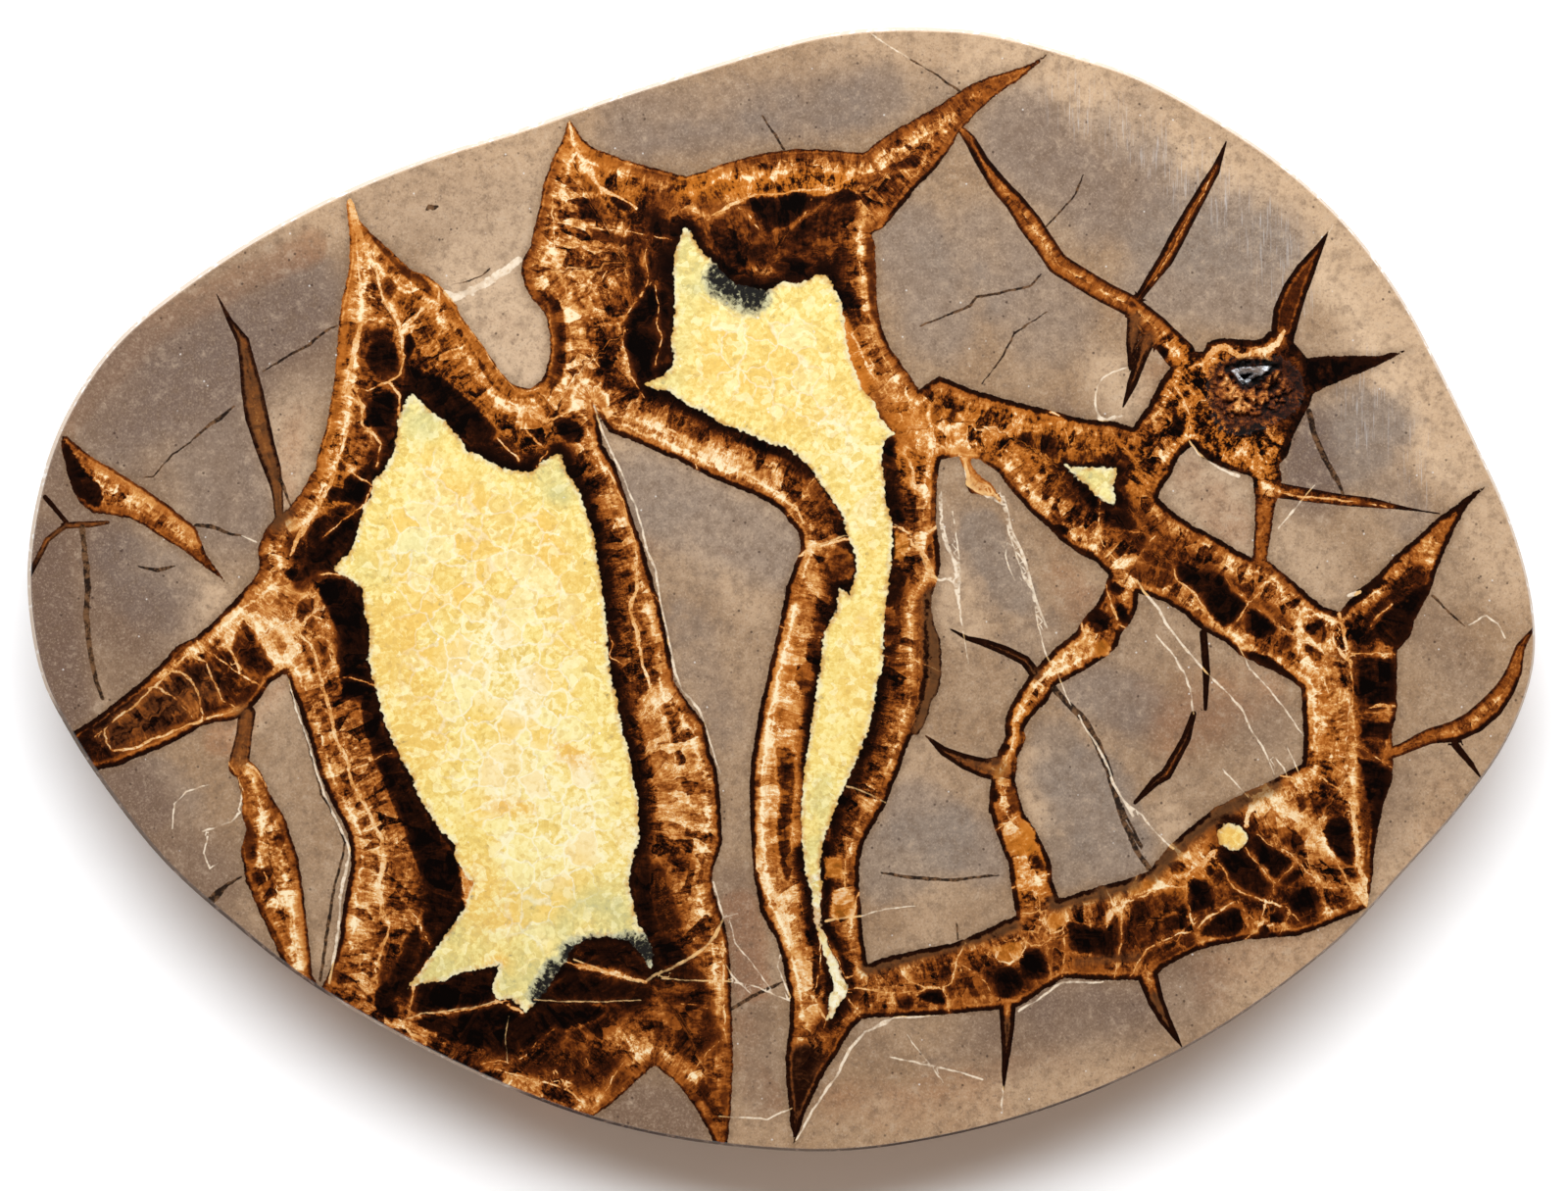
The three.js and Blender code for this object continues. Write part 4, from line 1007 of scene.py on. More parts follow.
# Brown cells, less dark than the black ones.
BROWN_CELLS = {
    "margin_side": [(942, 557), (949, 548), (952, 560), (952, 588), (947, 580), (942, 570)],
    "left_a_side": [
        (366, 358), (372, 350), (380, 348), (376, 362), (374, 376), (380, 386), (370, 386), (365, 374),
    ],
    "left_small": [(358, 408), (366, 412), (370, 428), (364, 428), (358, 420)],
    "low_c": [(302, 616), (316, 608), (322, 616), (318, 626), (308, 636), (300, 630)],
    "low_d": [(308, 640), (312, 632), (320, 626), (326, 636), (318, 644)],
    "low_e": [(318, 652), (330, 648), (336, 656), (334, 668), (326, 672), (320, 664)],
    "low_f": [(328, 672), (334, 662), (340, 674), (338, 682), (330, 684)],
    "arm_a": [
        (106, 744), (116, 736), (134, 724), (142, 712), (150, 704), (160, 703), (170, 710), (180, 722),
        (190, 738), (166, 748), (150, 752), (132, 760), (116, 764), (110, 758),
    ],
    "arm_b": [
        (162, 694), (170, 686), (180, 683), (188, 688), (194, 698), (204, 722), (206, 734), (198, 732),
        (184, 714), (176, 704),
    ],
    "arm_c": [(204, 700), (208, 690), (216, 690), (222, 704), (228, 718), (222, 722), (212, 718)],
    "arm_d": [(210, 670), (222, 678), (234, 686), (228, 690), (220, 684)],
    "arm_e": [
        (236, 660), (240, 648), (246, 636), (252, 626), (258, 630), (262, 650), (270, 662), (278, 674),
        (280, 684), (268, 691), (254, 690), (244, 684), (238, 672),
    ],
    "arm_f": [(92, 762), (98, 764), (106, 768), (108, 774), (100, 778), (94, 770)],
    "arm_g": [(238, 706), (244, 703), (248, 708), (242, 712)],
    "arm_h": [(240, 694), (248, 692), (254, 698), (246, 700)],
    "arm_wall": [(176, 668), (186, 658), (196, 653), (200, 656), (190, 662), (184, 670), (178, 674)],
    "lens_wall": [
        (249, 828), (256, 838), (262, 850), (264, 862), (262, 878), (258, 884), (252, 878), (247, 866),
        (244, 856),
    ],
    "lens_eye": [(277, 854), (282, 850), (289, 850), (292, 856), (290, 864), (284, 866), (278, 862)],
    "lens_eye_low": [
        (256, 892), (262, 888), (274, 883), (280, 888), (281, 900), (279, 912), (275, 916), (268, 912),
        (266, 904), (257, 898),
    ],
    "lens_side": [
        (258, 900), (264, 912), (276, 938), (283, 952), (290, 966), (292, 974), (286, 972), (278, 956),
        (262, 920),
    ],
    "bay_band": [
        (556, 302), (562, 300), (570, 306), (576, 320), (578, 340), (578, 370), (574, 388), (566, 396),
        (545, 405), (530, 409), (527, 402), (545, 400), (556, 396), (560, 388), (564, 370), (566, 345),
        (563, 325),
    ],
    "bay_left_band": [
        (462, 330), (470, 336), (478, 348), (490, 368), (504, 388), (514, 400), (528, 412), (506, 398),
        (494, 382), (482, 362),
    ],
    "spike_band": [
        (366, 224), (376, 232), (392, 248), (404, 262), (420, 276), (432, 282), (442, 292), (446, 304),
        (440, 308), (428, 296), (412, 282), (396, 264), (380, 246),
    ],
    "spike_red": [(390, 286), (398, 282), (406, 290), (404, 298), (396, 306), (390, 302)],
    "spike_spot": [(404, 324), (410, 322), (412, 330), (406, 334)],
    "head_a": [(580, 137), (586, 152), (575, 152)],
    "head_b": [(590, 178), (601, 174), (606, 186), (613, 198), (596, 196)],
    "head_c": [(586, 202), (612, 200), (620, 214), (616, 226), (600, 228), (592, 224), (588, 212)],
    "head_d": [
        (598, 230), (620, 236), (640, 240), (652, 248), (660, 262), (656, 280), (650, 262), (640, 252),
        (620, 248), (604, 244),
    ],
    "head_i": [
        (660, 196), (668, 200), (676, 194), (686, 188), (694, 196), (690, 210), (682, 216), (672, 212),
        (662, 208),
    ],
    "head_j": [
        (706, 206), (712, 200), (722, 190), (736, 182), (748, 184), (758, 190), (740, 200), (728, 212),
        (722, 220), (712, 214),
    ],
    "head_k": [
        (727, 220), (740, 212), (752, 212), (768, 222), (776, 232), (780, 240), (790, 250), (770, 250),
        (760, 250), (750, 262), (752, 276), (742, 270), (728, 256), (718, 246), (722, 236),
    ],
    "head_n": [
        (792, 234), (806, 232), (828, 216), (840, 206), (852, 212), (858, 226), (856, 250), (848, 262),
        (838, 262), (832, 270), (816, 260), (800, 260), (788, 266), (782, 254), (786, 244),
    ],
    "head_wall": [
        (884, 242), (890, 240), (893, 252), (895, 312), (898, 330), (890, 326), (886, 306), (884, 280),
        (882, 260),
    ],
    "top_horn": [
        (888, 170), (900, 172), (915, 165), (930, 155), (938, 158), (942, 166), (934, 172), (916, 174),
        (900, 177),
    ],
    "band_a": [
        (824, 492), (832, 488), (840, 500), (850, 512), (856, 522), (862, 530), (852, 530), (840, 522),
        (828, 510),
    ],
    "band_b": [
        (846, 562), (855, 558), (866, 560), (871, 570), (873, 580), (868, 590), (860, 592), (850, 594),
        (844, 572),
    ],
    "band_c": [(838, 608), (844, 604), (849, 610), (846, 616), (840, 616)],
    "band_d": [(828, 638), (838, 634), (846, 640), (846, 648), (838, 650), (830, 646)],
    "band_e": [(826, 656), (838, 652), (840, 670), (830, 672), (822, 664)],
    "band_f": [(814, 680), (826, 676), (832, 690), (828, 704), (816, 706), (810, 694)],
    "band_g": [
        (792, 762), (804, 760), (812, 770), (812, 800), (808, 830), (806, 850), (808, 890), (804, 900),
        (798, 890), (794, 870), (792, 850), (796, 810), (792, 790),
    ],
    "right_band_a": [
        (903, 620), (912, 618), (916, 634), (914, 650), (910, 660), (902, 660), (902, 640),
    ],
    "right_band_b": [(903, 672), (916, 674), (926, 676), (924, 684), (912, 686), (903, 682)],
    "right_band_c": [(834, 840), (842, 838), (848, 846), (846, 858), (836, 858), (832, 850)],
    "tail_side": [(836, 957), (848, 962), (856, 975), (858, 990), (850, 992), (844, 980), (838, 968)],
    "junction_a": [(949, 414), (956, 412), (962, 414), (961, 426), (958, 438), (951, 438), (948, 426)],
    "junction_b": [(965, 420), (976, 418), (980, 428), (974, 434), (965, 432)],
    "junction_d": [
        (1030, 452), (1038, 446), (1046, 440), (1060, 440), (1078, 448), (1084, 464), (1080, 474),
        (1072, 468), (1062, 462), (1050, 458), (1040, 458),
    ],
    "junction_f": [
        (1092, 461), (1104, 461), (1116, 462), (1124, 468), (1116, 472), (1104, 474), (1092, 472),
    ],
    "junction_l": [(1138, 558), (1146, 556), (1152, 562), (1146, 568), (1140, 566)],
    "junction_m": [
        (1175, 556), (1184, 550), (1196, 556), (1202, 564), (1196, 574), (1184, 572), (1176, 566),
    ],
    "junction_n": [
        (1148, 578), (1160, 574), (1184, 580), (1196, 586), (1200, 596), (1188, 600), (1172, 598),
        (1160, 594), (1152, 586),
    ],
    "right_wall_a": [(943, 548), (951, 542), (953, 560), (954, 580), (948, 574)],
    "right_wall_b": [(951, 480), (956, 484), (955, 510), (954, 534), (949, 534), (950, 506)],
    "spine_a": [(1040, 745), (1046, 746), (1046, 756), (1042, 764), (1038, 760)],
    "spine_b": [(1032, 765), (1038, 768), (1038, 780), (1036, 790), (1032, 786)],
    "spine_c": [(1026, 802), (1035, 802), (1038, 815), (1040, 826), (1032, 830), (1027, 818)],
    "spine_d": [(1011, 774), (1020, 773), (1024, 777), (1018, 781), (1012, 781)],
    "column_top": [(1054, 872), (1060, 870), (1068, 878), (1070, 890), (1062, 888), (1052, 884)],
    "run_a": [(912, 1017), (920, 1013), (932, 1014), (936, 1020), (930, 1030), (918, 1032)],
    "run_b": [(966, 1003), (973, 1004), (976, 1012), (973, 1022), (968, 1020)],
    "run_c": [(979, 1000), (990, 998), (1000, 1004), (1004, 1012), (998, 1018), (985, 1018)],
    "run_d": [(958, 986), (970, 985), (974, 992), (970, 1000), (960, 1000)],
    "run_e": [
        (1119, 906), (1126, 905), (1128, 915), (1130, 925), (1126, 935), (1120, 945), (1117, 935),
    ],
    "run_f": [(1092, 974), (1110, 976), (1134, 980), (1134, 990), (1112, 992), (1094, 988)],
    "vug_branch": [(1300, 494), (1330, 500), (1370, 506), (1400, 512), (1370, 516), (1330, 511)],
    "diagonal_a": [(1180, 558), (1190, 556), (1200, 560), (1200, 570), (1190, 574), (1180, 570)],
    "diagonal_d": [(1282, 610), (1292, 612), (1302, 618), (1306, 628), (1298, 630), (1288, 624)],
    "diagonal_e": [(1303, 650), (1314, 646), (1324, 652), (1322, 660), (1312, 664), (1304, 660)],
    "diagonal_f": [(1326, 638), (1340, 634), (1352, 630), (1354, 644), (1352, 656), (1344, 658)],
    "diagonal_g": [(1330, 655), (1340, 658), (1352, 668), (1348, 676), (1340, 674), (1332, 664)],
    "column_e": [
        (1388, 732), (1402, 732), (1416, 736), (1418, 744), (1410, 752), (1400, 756), (1388, 750),
    ],
    "column_f": [(1390, 872), (1398, 876), (1398, 904), (1394, 908)],
    "corner_low_c": [
        (1338, 804), (1344, 816), (1356, 816), (1370, 818), (1376, 826), (1366, 832), (1354, 832),
        (1342, 830),
    ],
    "low_right_wall_a": [
        (1233, 828), (1243, 821), (1258, 814), (1274, 805), (1286, 800), (1299, 798), (1292, 807),
        (1274, 819), (1265, 827), (1250, 830), (1240, 834),
    ],
    "low_right_wall_b": [(1176, 880), (1184, 872), (1196, 862), (1202, 868), (1196, 876), (1186, 884)],
    "low_right_d": [(1190, 882), (1200, 876), (1210, 880), (1214, 888), (1206, 892), (1196, 892)],
    "low_right_big": [
        (1156, 916), (1166, 912), (1180, 908), (1206, 906), (1214, 934), (1212, 946), (1200, 952),
        (1186, 954), (1170, 962), (1158, 962), (1154, 940),
    ],
    "low_right_h": [(1240, 900), (1250, 896), (1256, 908), (1256, 918), (1244, 920), (1238, 912)],
    "low_right_k": [
        (1300, 846), (1312, 842), (1324, 848), (1332, 858), (1336, 868), (1326, 872), (1312, 866),
    ],
    "low_right_t": [(1150, 962), (1160, 962), (1164, 970), (1158, 980), (1150, 976)],
    "burst_brown": [(1322, 812), (1334, 814), (1336, 824), (1326, 828)],
    "toe_a": [
        (668, 1002), (690, 1002), (710, 1006), (722, 1020), (716, 1040), (708, 1072), (700, 1080),
        (690, 1070), (684, 1050), (676, 1030),
    ],
    "toe_b": [(732, 1108), (742, 1106), (744, 1130), (738, 1136), (730, 1124)],
    "toe_c": [(718, 1100), (732, 1104), (734, 1118), (726, 1120)],
    "base": [
        (600, 1024), (630, 1022), (640, 1036), (628, 1052), (612, 1062), (590, 1072), (566, 1072),
        (580, 1054), (604, 1042),
    ],
}
# Golden cells, lit through from below the polish.
GOLD_CELLS = {
    "run_a": [
        (1004, 962), (1016, 966), (1030, 960), (1044, 960), (1045, 970), (1040, 980), (1028, 983),
        (1018, 979), (1012, 972),
    ],
    "run_b": [(1064, 938), (1074, 930), (1086, 930), (1088, 938), (1084, 946), (1074, 953)],
    "run_c": [(1126, 944), (1127, 932), (1134, 927), (1142, 929), (1136, 935), (1131, 946)],
    "column": [
        (1022, 846), (1036, 842), (1046, 846), (1056, 856), (1062, 866), (1052, 872), (1044, 878),
        (1036, 872), (1026, 866),
    ],
    "foot_a": [(850, 908), (862, 906), (872, 916), (872, 930), (868, 940), (852, 938), (846, 930)],
    "foot_b": [(840, 874), (860, 874), (862, 898), (842, 896)],
    "right_hook": [(912, 541), (926, 544), (930, 556), (922, 572), (912, 572)],
    "spine_a": [(1116, 655), (1128, 650), (1134, 658), (1132, 668), (1120, 672), (1114, 664)],
    "spine_b": [(1014, 784), (1020, 778), (1030, 772), (1030, 786), (1020, 796), (1012, 794)],
    "spine_c": [(1040, 836), (1050, 840), (1058, 850), (1056, 858), (1046, 856), (1038, 846)],
    "run_top": [(1150, 905), (1166, 898), (1180, 892), (1180, 904), (1166, 910), (1152, 916)],
    "arch": [(582, 982), (600, 983), (622, 988), (644, 996), (640, 999), (612, 992), (590, 988)],
    "amber_lip": [(466, 878), (478, 890), (486, 902), (482, 914), (474, 926), (472, 906)],
}

# Soft-edged zones that lighten, darken or tint a mineral, a few of them with painted light or shade: (x0,
# y0, x1, y1, radius, weight).
ZONES = {
    "vein_grit": [
        (1316, 503, 1430, 518, 8, 1.2), (1240, 380, 1310, 390, 60, 1.0),
        (1230, 430, 1300, 440, 60, 1.0), (1270, 470, 1300, 490, 30, 0.8),
        (1380, 620, 1370, 820, 40, 0.6), (1200, 420, 1180, 460, 30, 0.4),
    ],
    "rock_cool": [
        (1000, 540, 1040, 610, 26, 0.9), (900, 880, 960, 860, 50, 0.8), (1120, 790, 1150, 850, 40, 0.6),
        (1080, 760, 1090, 880, 36, 0.7), (1340, 440, 1380, 420, 40, 0.7),
        (1380, 470, 1420, 430, 40, 0.6), (1180, 240, 1290, 250, 50, 0.6), (640, 110, 860, 110, 40, 0.5),
        (120, 360, 240, 330, 60, 0.4), (690, 520, 720, 640, 40, 0.4), (960, 260, 1000, 300, 40, 0.4),
        (120, 560, 160, 620, 40, 0.5), (1110, 720, 1150, 740, 40, 0.4),
    ],
    "vein_orange": [
        (1220, 370, 1230, 450, 40, 0.7), (1240, 460, 1310, 470, 30, 0.7),
        (1010, 440, 1150, 480, 40, 0.5), (1330, 690, 1350, 780, 30, 0.25),
        (440, 300, 520, 420, 60, 0.4), (350, 240, 330, 420, 30, 0.4), (700, 190, 860, 186, 16, 1.0),
        (590, 160, 640, 200, 24, 0.6), (842, 322, 872, 386, 24, 1.0), (905, 470, 946, 480, 26, 0.6),
        (930, 430, 1080, 440, 30, 0.6), (1060, 840, 1050, 900, 24, 0.7),
        (1040, 730, 1060, 800, 20, 0.6), (330, 440, 350, 520, 24, 0.5), (800, 660, 800, 860, 20, 0.4),
        (880, 560, 900, 520, 20, 0.4), (1200, 900, 1240, 880, 20, 0.5),
    ],
    "vein_dark": [
        (1200, 330, 1280, 345, 16, 0.5), (1310, 350, 1336, 400, 20, 0.8),
        (1240, 430, 1300, 440, 20, 0.3), (310, 540, 340, 560, 20, 0.4), (960, 430, 1100, 440, 20, 0.2),
        (700, 1040, 740, 1130, 20, 0.3), (430, 400, 520, 470, 24, 0.8), (520, 470, 560, 480, 14, 0.8),
        (392, 440, 396, 480, 14, 0.9), (382, 468, 372, 500, 14, 0.8), (340, 560, 372, 530, 22, 0.9),
        (310, 590, 350, 560, 20, 0.8), (350, 610, 370, 700, 26, 0.8), (390, 730, 440, 860, 28, 0.8),
        (450, 880, 450, 930, 34, 0.9), (400, 1000, 460, 930, 24, 0.8), (460, 1010, 640, 1010, 36, 0.9),
        (470, 1040, 560, 1050, 26, 0.9), (640, 985, 560, 1010, 34, 1.0), (636, 760, 660, 900, 20, 0.6),
        (660, 900, 690, 1000, 30, 0.8), (660, 220, 670, 380, 30, 0.9), (740, 222, 860, 215, 22, 0.75),
        (760, 250, 850, 262, 26, 0.8), (700, 232, 680, 240, 14, 0.6), (830, 268, 810, 262, 18, 0.6),
        (700, 405, 800, 445, 18, 0.9), (830, 470, 860, 540, 10, 0.5), (850, 580, 866, 600, 14, 0.8),
        (838, 650, 828, 700, 10, 0.5), (822, 760, 818, 840, 10, 0.5), (905, 480, 920, 540, 12, 0.7),
        (918, 600, 900, 700, 16, 0.6), (890, 720, 866, 800, 14, 0.5), (860, 800, 845, 880, 14, 0.6),
        (842, 900, 842, 960, 8, 0.8), (838, 1010, 842, 1040, 8, 0.6), (880, 1014, 940, 1018, 10, 0.4),
        (820, 1080, 810, 1160, 20, 1.0), (860, 1060, 830, 1100, 18, 0.8),
        (1110, 490, 1180, 560, 30, 0.7), (1180, 560, 1300, 640, 26, 0.7),
        (1100, 450, 1040, 450, 22, 0.4), (1390, 650, 1405, 880, 20, 0.8),
        (1400, 640, 1450, 590, 20, 0.9), (1130, 960, 1200, 960, 34, 0.8),
        (1040, 1000, 1020, 1000, 24, 0.9), (1250, 900, 1330, 930, 26, 0.9),
        (1240, 930, 1200, 950, 20, 0.7), (1130, 610, 1140, 640, 16, 0.8), (365, 345, 400, 380, 22, 0.8),
        (375, 400, 400, 450, 20, 0.7), (700, 1000, 720, 1060, 28, 0.8), (720, 1110, 740, 1140, 14, 0.9),
        (1280, 390, 1320, 430, 26, 0.9), (1255, 390, 1250, 415, 14, 0.6),
        (1340, 375, 1420, 365, 18, 1.0), (1310, 330, 1340, 260, 16, 0.8),
        (1161, 305, 1240, 174, 14, 1.0), (1000, 770, 944, 750, 12, 1.0), (1056, 687, 970, 642, 8, 1.0),
        (1027, 1050, 1024, 1112, 10, 1.0), (1176, 1010, 1206, 1068, 8, 0.6),
        (368, 350, 392, 346, 16, 0.9), (120, 750, 180, 722, 18, 0.8), (178, 700, 192, 718, 12, 0.8),
        (252, 650, 264, 676, 12, 0.8), (222, 690, 226, 712, 12, 0.5), (1225, 905, 1236, 920, 14, 0.8),
        (1256, 884, 1284, 908, 20, 0.9), (1240, 940, 1256, 950, 18, 0.9),
        (1326, 908, 1336, 922, 16, 0.8), (1364, 840, 1372, 870, 14, 0.9),
        (1400, 680, 1404, 716, 16, 0.9), (1404, 740, 1410, 756, 12, 0.8),
        (1402, 790, 1404, 850, 16, 0.9), (1020, 995, 1036, 1006, 16, 0.9),
        (1050, 986, 1062, 990, 12, 0.8), (1100, 960, 1124, 960, 16, 0.9),
        (1098, 976, 1128, 984, 12, 0.6), (945, 1016, 958, 1014, 8, 0.9),
        (1260, 630, 1230, 610, 14, 0.8), (1200, 566, 1240, 600, 12, 0.7),
        (1084, 500, 1110, 512, 12, 0.7), (1118, 470, 1090, 450, 14, 0.5),
        (1132, 530, 1146, 520, 14, 0.9), (1280, 640, 1300, 650, 10, 0.5), (100, 752, 240, 690, 34, 1.2),
        (1076, 922, 1158, 900, 9, 0.7), (1176, 892, 1246, 828, 9, 0.7), (1246, 828, 1300, 801, 9, 0.7),
        (885, 988, 1035, 945, 8, 0.7), (960, 1004, 1180, 966, 44, 0.6),
        (1200, 945, 1270, 905, 44, 0.65), (1290, 890, 1370, 900, 40, 0.55),
        (480, 1060, 620, 1095, 34, 0.75), (440, 1010, 480, 1060, 24, 0.6),
        (720, 1040, 736, 1120, 20, 0.5), (310, 560, 350, 535, 26, 0.95),
    ],
    "vein_light": [
        (358, 215, 350, 330, 20, 0.6), (350, 330, 345, 430, 18, 0.5), (335, 440, 300, 560, 16, 0.4),
        (255, 640, 300, 615, 34, 1.3), (284, 660, 300, 690, 22, 1.2), (984, 468, 1020, 510, 16, 1.2),
        (330, 760, 360, 850, 18, 0.5), (370, 860, 370, 1000, 30, 0.5), (585, 150, 600, 330, 22, 0.6),
        (600, 340, 590, 400, 20, 0.6), (600, 410, 660, 440, 26, 0.7), (660, 440, 790, 490, 14, 0.7),
        (810, 540, 830, 600, 14, 0.8), (820, 620, 790, 760, 16, 1.0), (785, 780, 790, 900, 16, 1.0),
        (795, 900, 830, 1030, 18, 1.0), (850, 330, 880, 430, 22, 1.0), (900, 400, 930, 440, 22, 0.9),
        (940, 430, 1060, 440, 18, 0.6), (945, 480, 950, 560, 10, 0.5), (1340, 640, 1360, 760, 24, 1.0),
        (1300, 820, 1350, 860, 24, 1.0), (1240, 850, 1180, 900, 16, 0.8), (640, 160, 780, 175, 10, 0.4),
        (780, 175, 880, 180, 8, 0.4), (380, 240, 440, 300, 16, 0.5), (460, 330, 520, 420, 10, 0.4),
        (1086, 672, 1106, 658, 18, 1.0), (660, 620, 700, 760, 12, 0.6), (700, 760, 720, 900, 14, 0.6),
        (420, 1050, 560, 1120, 16, 0.3), (560, 1120, 640, 1080, 20, 0.3),
        (1200, 360, 1215, 400, 12, 0.4), (1316, 503, 1420, 517, 4, 1.0), (100, 470, 200, 550, 12, 1.0),
        (255, 790, 275, 860, 8, 0.6), (300, 900, 310, 980, 8, 0.7), (880, 470, 900, 440, 10, 0.4),
        (800, 660, 804, 850, 18, 1.3), (665, 720, 690, 840, 18, 1.1), (690, 182, 860, 188, 14, 0.3),
        (1345, 690, 1386, 800, 24, 1.2), (930, 430, 1180, 470, 12, 0.3),
    ],
    "vein_soft": [
        (984, 468, 1020, 510, 20, 1.0), (952, 605, 940, 744, 16, 0.9), (360, 200, 345, 400, 34, 1.0),
        (340, 400, 280, 590, 34, 1.0), (380, 240, 540, 420, 36, 1.0), (575, 140, 550, 260, 26, 1.0),
        (550, 260, 590, 400, 30, 1.0), (600, 140, 740, 185, 28, 1.0), (740, 175, 900, 160, 28, 1.0),
        (900, 165, 1050, 70, 34, 0.9), (895, 240, 930, 380, 24, 0.8), (250, 760, 280, 900, 34, 0.8),
        (690, 700, 740, 1140, 24, 0.6), (560, 1120, 740, 1080, 60, 0.8),
        (400, 1050, 560, 1130, 40, 0.8), (1290, 480, 1300, 580, 24, 0.7),
        (1000, 200, 1200, 360, 24, 0.5), (70, 470, 210, 580, 30, 0.8), (30, 560, 120, 530, 16, 0.8),
        (1430, 760, 1560, 660, 24, 0.7), (230, 310, 290, 520, 24, 0.25),
        (1260, 460, 1300, 480, 20, 0.6), (310, 900, 330, 1000, 24, 0.6),
    ],
    "rock_warm": [
        (1210, 480, 1260, 540, 30, 0.5), (500, 330, 540, 360, 30, 0.25),
        (1250, 980, 1380, 900, 50, 0.3), (60, 440, 160, 330, 20, 0.7), (160, 330, 320, 250, 20, 0.9),
        (290, 520, 300, 420, 18, 0.5), (560, 110, 700, 95, 16, 0.3), (640, 560, 740, 560, 20, 0.3),
        (1130, 330, 1160, 300, 16, 0.3), (1060, 560, 1130, 560, 16, 0.3),
        (950, 1110, 1100, 1080, 24, 0.4), (1440, 900, 1480, 800, 24, 0.4),
        (1200, 745, 1280, 700, 44, 0.6), (1180, 710, 1230, 700, 30, 0.4),
        (1240, 1000, 1350, 950, 40, 0.5), (860, 1130, 1010, 1130, 34, 0.5),
        (755, 930, 765, 1000, 28, 1.0), (750, 1050, 780, 1120, 30, 0.5),
        (1080, 590, 1110, 620, 30, 0.5), (1180, 400, 1190, 380, 30, 0.4), (230, 750, 280, 690, 30, 0.6),
        (1440, 790, 1500, 720, 30, 0.3),
    ],
    "vein_plain": [
        (221, 300, 257, 397, 14, 1.0), (257, 397, 285, 528, 16, 1.0), (115, 745, 205, 700, 24, 0.4),
        (1056, 687, 970, 642, 8, 1.0), (1231, 646, 1230, 723, 8, 1.0), (1218, 728, 1158, 819, 10, 1.0),
        (67, 536, 110, 533, 8, 0.6), (64, 538, 25, 595, 8, 0.8), (1019, 784, 944, 750, 12, 0.8),
        (1028, 1045, 1024, 1112, 9, 1.0), (1179, 1020, 1206, 1068, 10, 1.0),
        (1158, 325, 1154, 374, 8, 0.8), (1172, 345, 1146, 415, 8, 0.6), (820, 1080, 810, 1160, 20, 0.5),
        (250, 728, 245, 772, 12, 0.8), (952, 612, 954, 700, 12, 1.3), (952, 700, 940, 744, 10, 1.3),
        (1076, 922, 1120, 912, 9, 1.2), (1120, 912, 1158, 900, 9, 1.2), (1176, 892, 1210, 855, 9, 1.2),
        (1210, 855, 1246, 828, 9, 1.2), (1246, 828, 1300, 801, 9, 1.2), (885, 988, 1035, 945, 8, 1.2),
        (1100, 982, 1160, 976, 5, 0.6),
    ],
    "vein_web": [
        (930, 430, 1200, 560, 60, 1.0), (1200, 560, 1370, 640, 50, 1.0),
        (1350, 640, 1400, 900, 60, 1.0), (880, 1000, 1380, 930, 60, 1.0),
        (1040, 720, 1060, 940, 40, 1.0), (1150, 620, 1060, 700, 36, 1.0),
        (1170, 430, 1200, 520, 40, 1.0), (1240, 380, 1290, 450, 60, 1.0),
        (1290, 490, 1300, 570, 20, 1.0), (1440, 590, 1510, 500, 36, 0.8),
        (1000, 180, 1200, 350, 40, 0.8), (1430, 760, 1560, 660, 30, 0.8), (600, 220, 680, 380, 50, 0.7),
        (380, 330, 400, 450, 36, 1.0), (110, 740, 240, 660, 44, 0.5), (840, 300, 900, 420, 34, 0.8),
        (330, 540, 380, 480, 30, 0.8), (430, 880, 420, 960, 30, 0.6),
    ],
    "rock_core": [
        (100, 420, 210, 360, 80, 1.0), (210, 360, 300, 300, 60, 0.9), (210, 430, 230, 520, 60, 0.8),
        (130, 580, 170, 600, 50, 0.7), (650, 500, 790, 560, 50, 0.9), (640, 130, 900, 95, 40, 0.8),
        (900, 95, 960, 90, 30, 0.5), (930, 240, 960, 330, 50, 0.8), (1040, 130, 1110, 200, 60, 0.8),
        (1000, 250, 1070, 330, 60, 0.7), (1150, 130, 1180, 220, 50, 0.7),
        (1180, 220, 1290, 250, 60, 0.9), (1180, 290, 1290, 300, 50, 0.8),
        (1340, 470, 1400, 440, 50, 0.9), (1420, 500, 1440, 530, 30, 0.6),
        (1110, 700, 1160, 720, 36, 0.9), (1100, 800, 1140, 870, 46, 1.0),
        (930, 830, 1000, 870, 44, 0.9), (700, 640, 740, 740, 34, 0.5), (1060, 640, 1040, 660, 30, 0.5),
        (980, 540, 1030, 610, 34, 0.5), (150, 790, 180, 820, 34, 0.6),
        (1060, 1030, 1150, 1040, 40, 0.5), (960, 1080, 1000, 1060, 30, 0.3),
    ],
    # Paler rock: partly paler stone, partly painted light, strongest along the top right rim.
    "rock_pale": [
        (500, 320, 540, 370, 34, 0.5), (900, 1130, 1000, 1130, 20, 0.3), (400, 200, 560, 170, 50, 0.6),
        (470, 270, 530, 230, 40, 0.8), (490, 300, 530, 370, 50, 1.1), (420, 190, 300, 230, 34, 0.5),
        (300, 400, 290, 500, 26, 0.6), (640, 450, 680, 480, 20, 0.4), (1130, 380, 1150, 400, 30, 0.6),
        (1210, 480, 1260, 540, 40, 0.8), (1000, 50, 1100, 80, 40, 0.9), (1100, 90, 1300, 200, 40, 0.9),
        (1300, 200, 1420, 330, 44, 1.0), (1420, 330, 1490, 450, 56, 1.2),
        (1490, 450, 1545, 590, 36, 0.8), (1320, 560, 1360, 600, 30, 0.4), (950, 40, 860, 50, 26, 0.5),
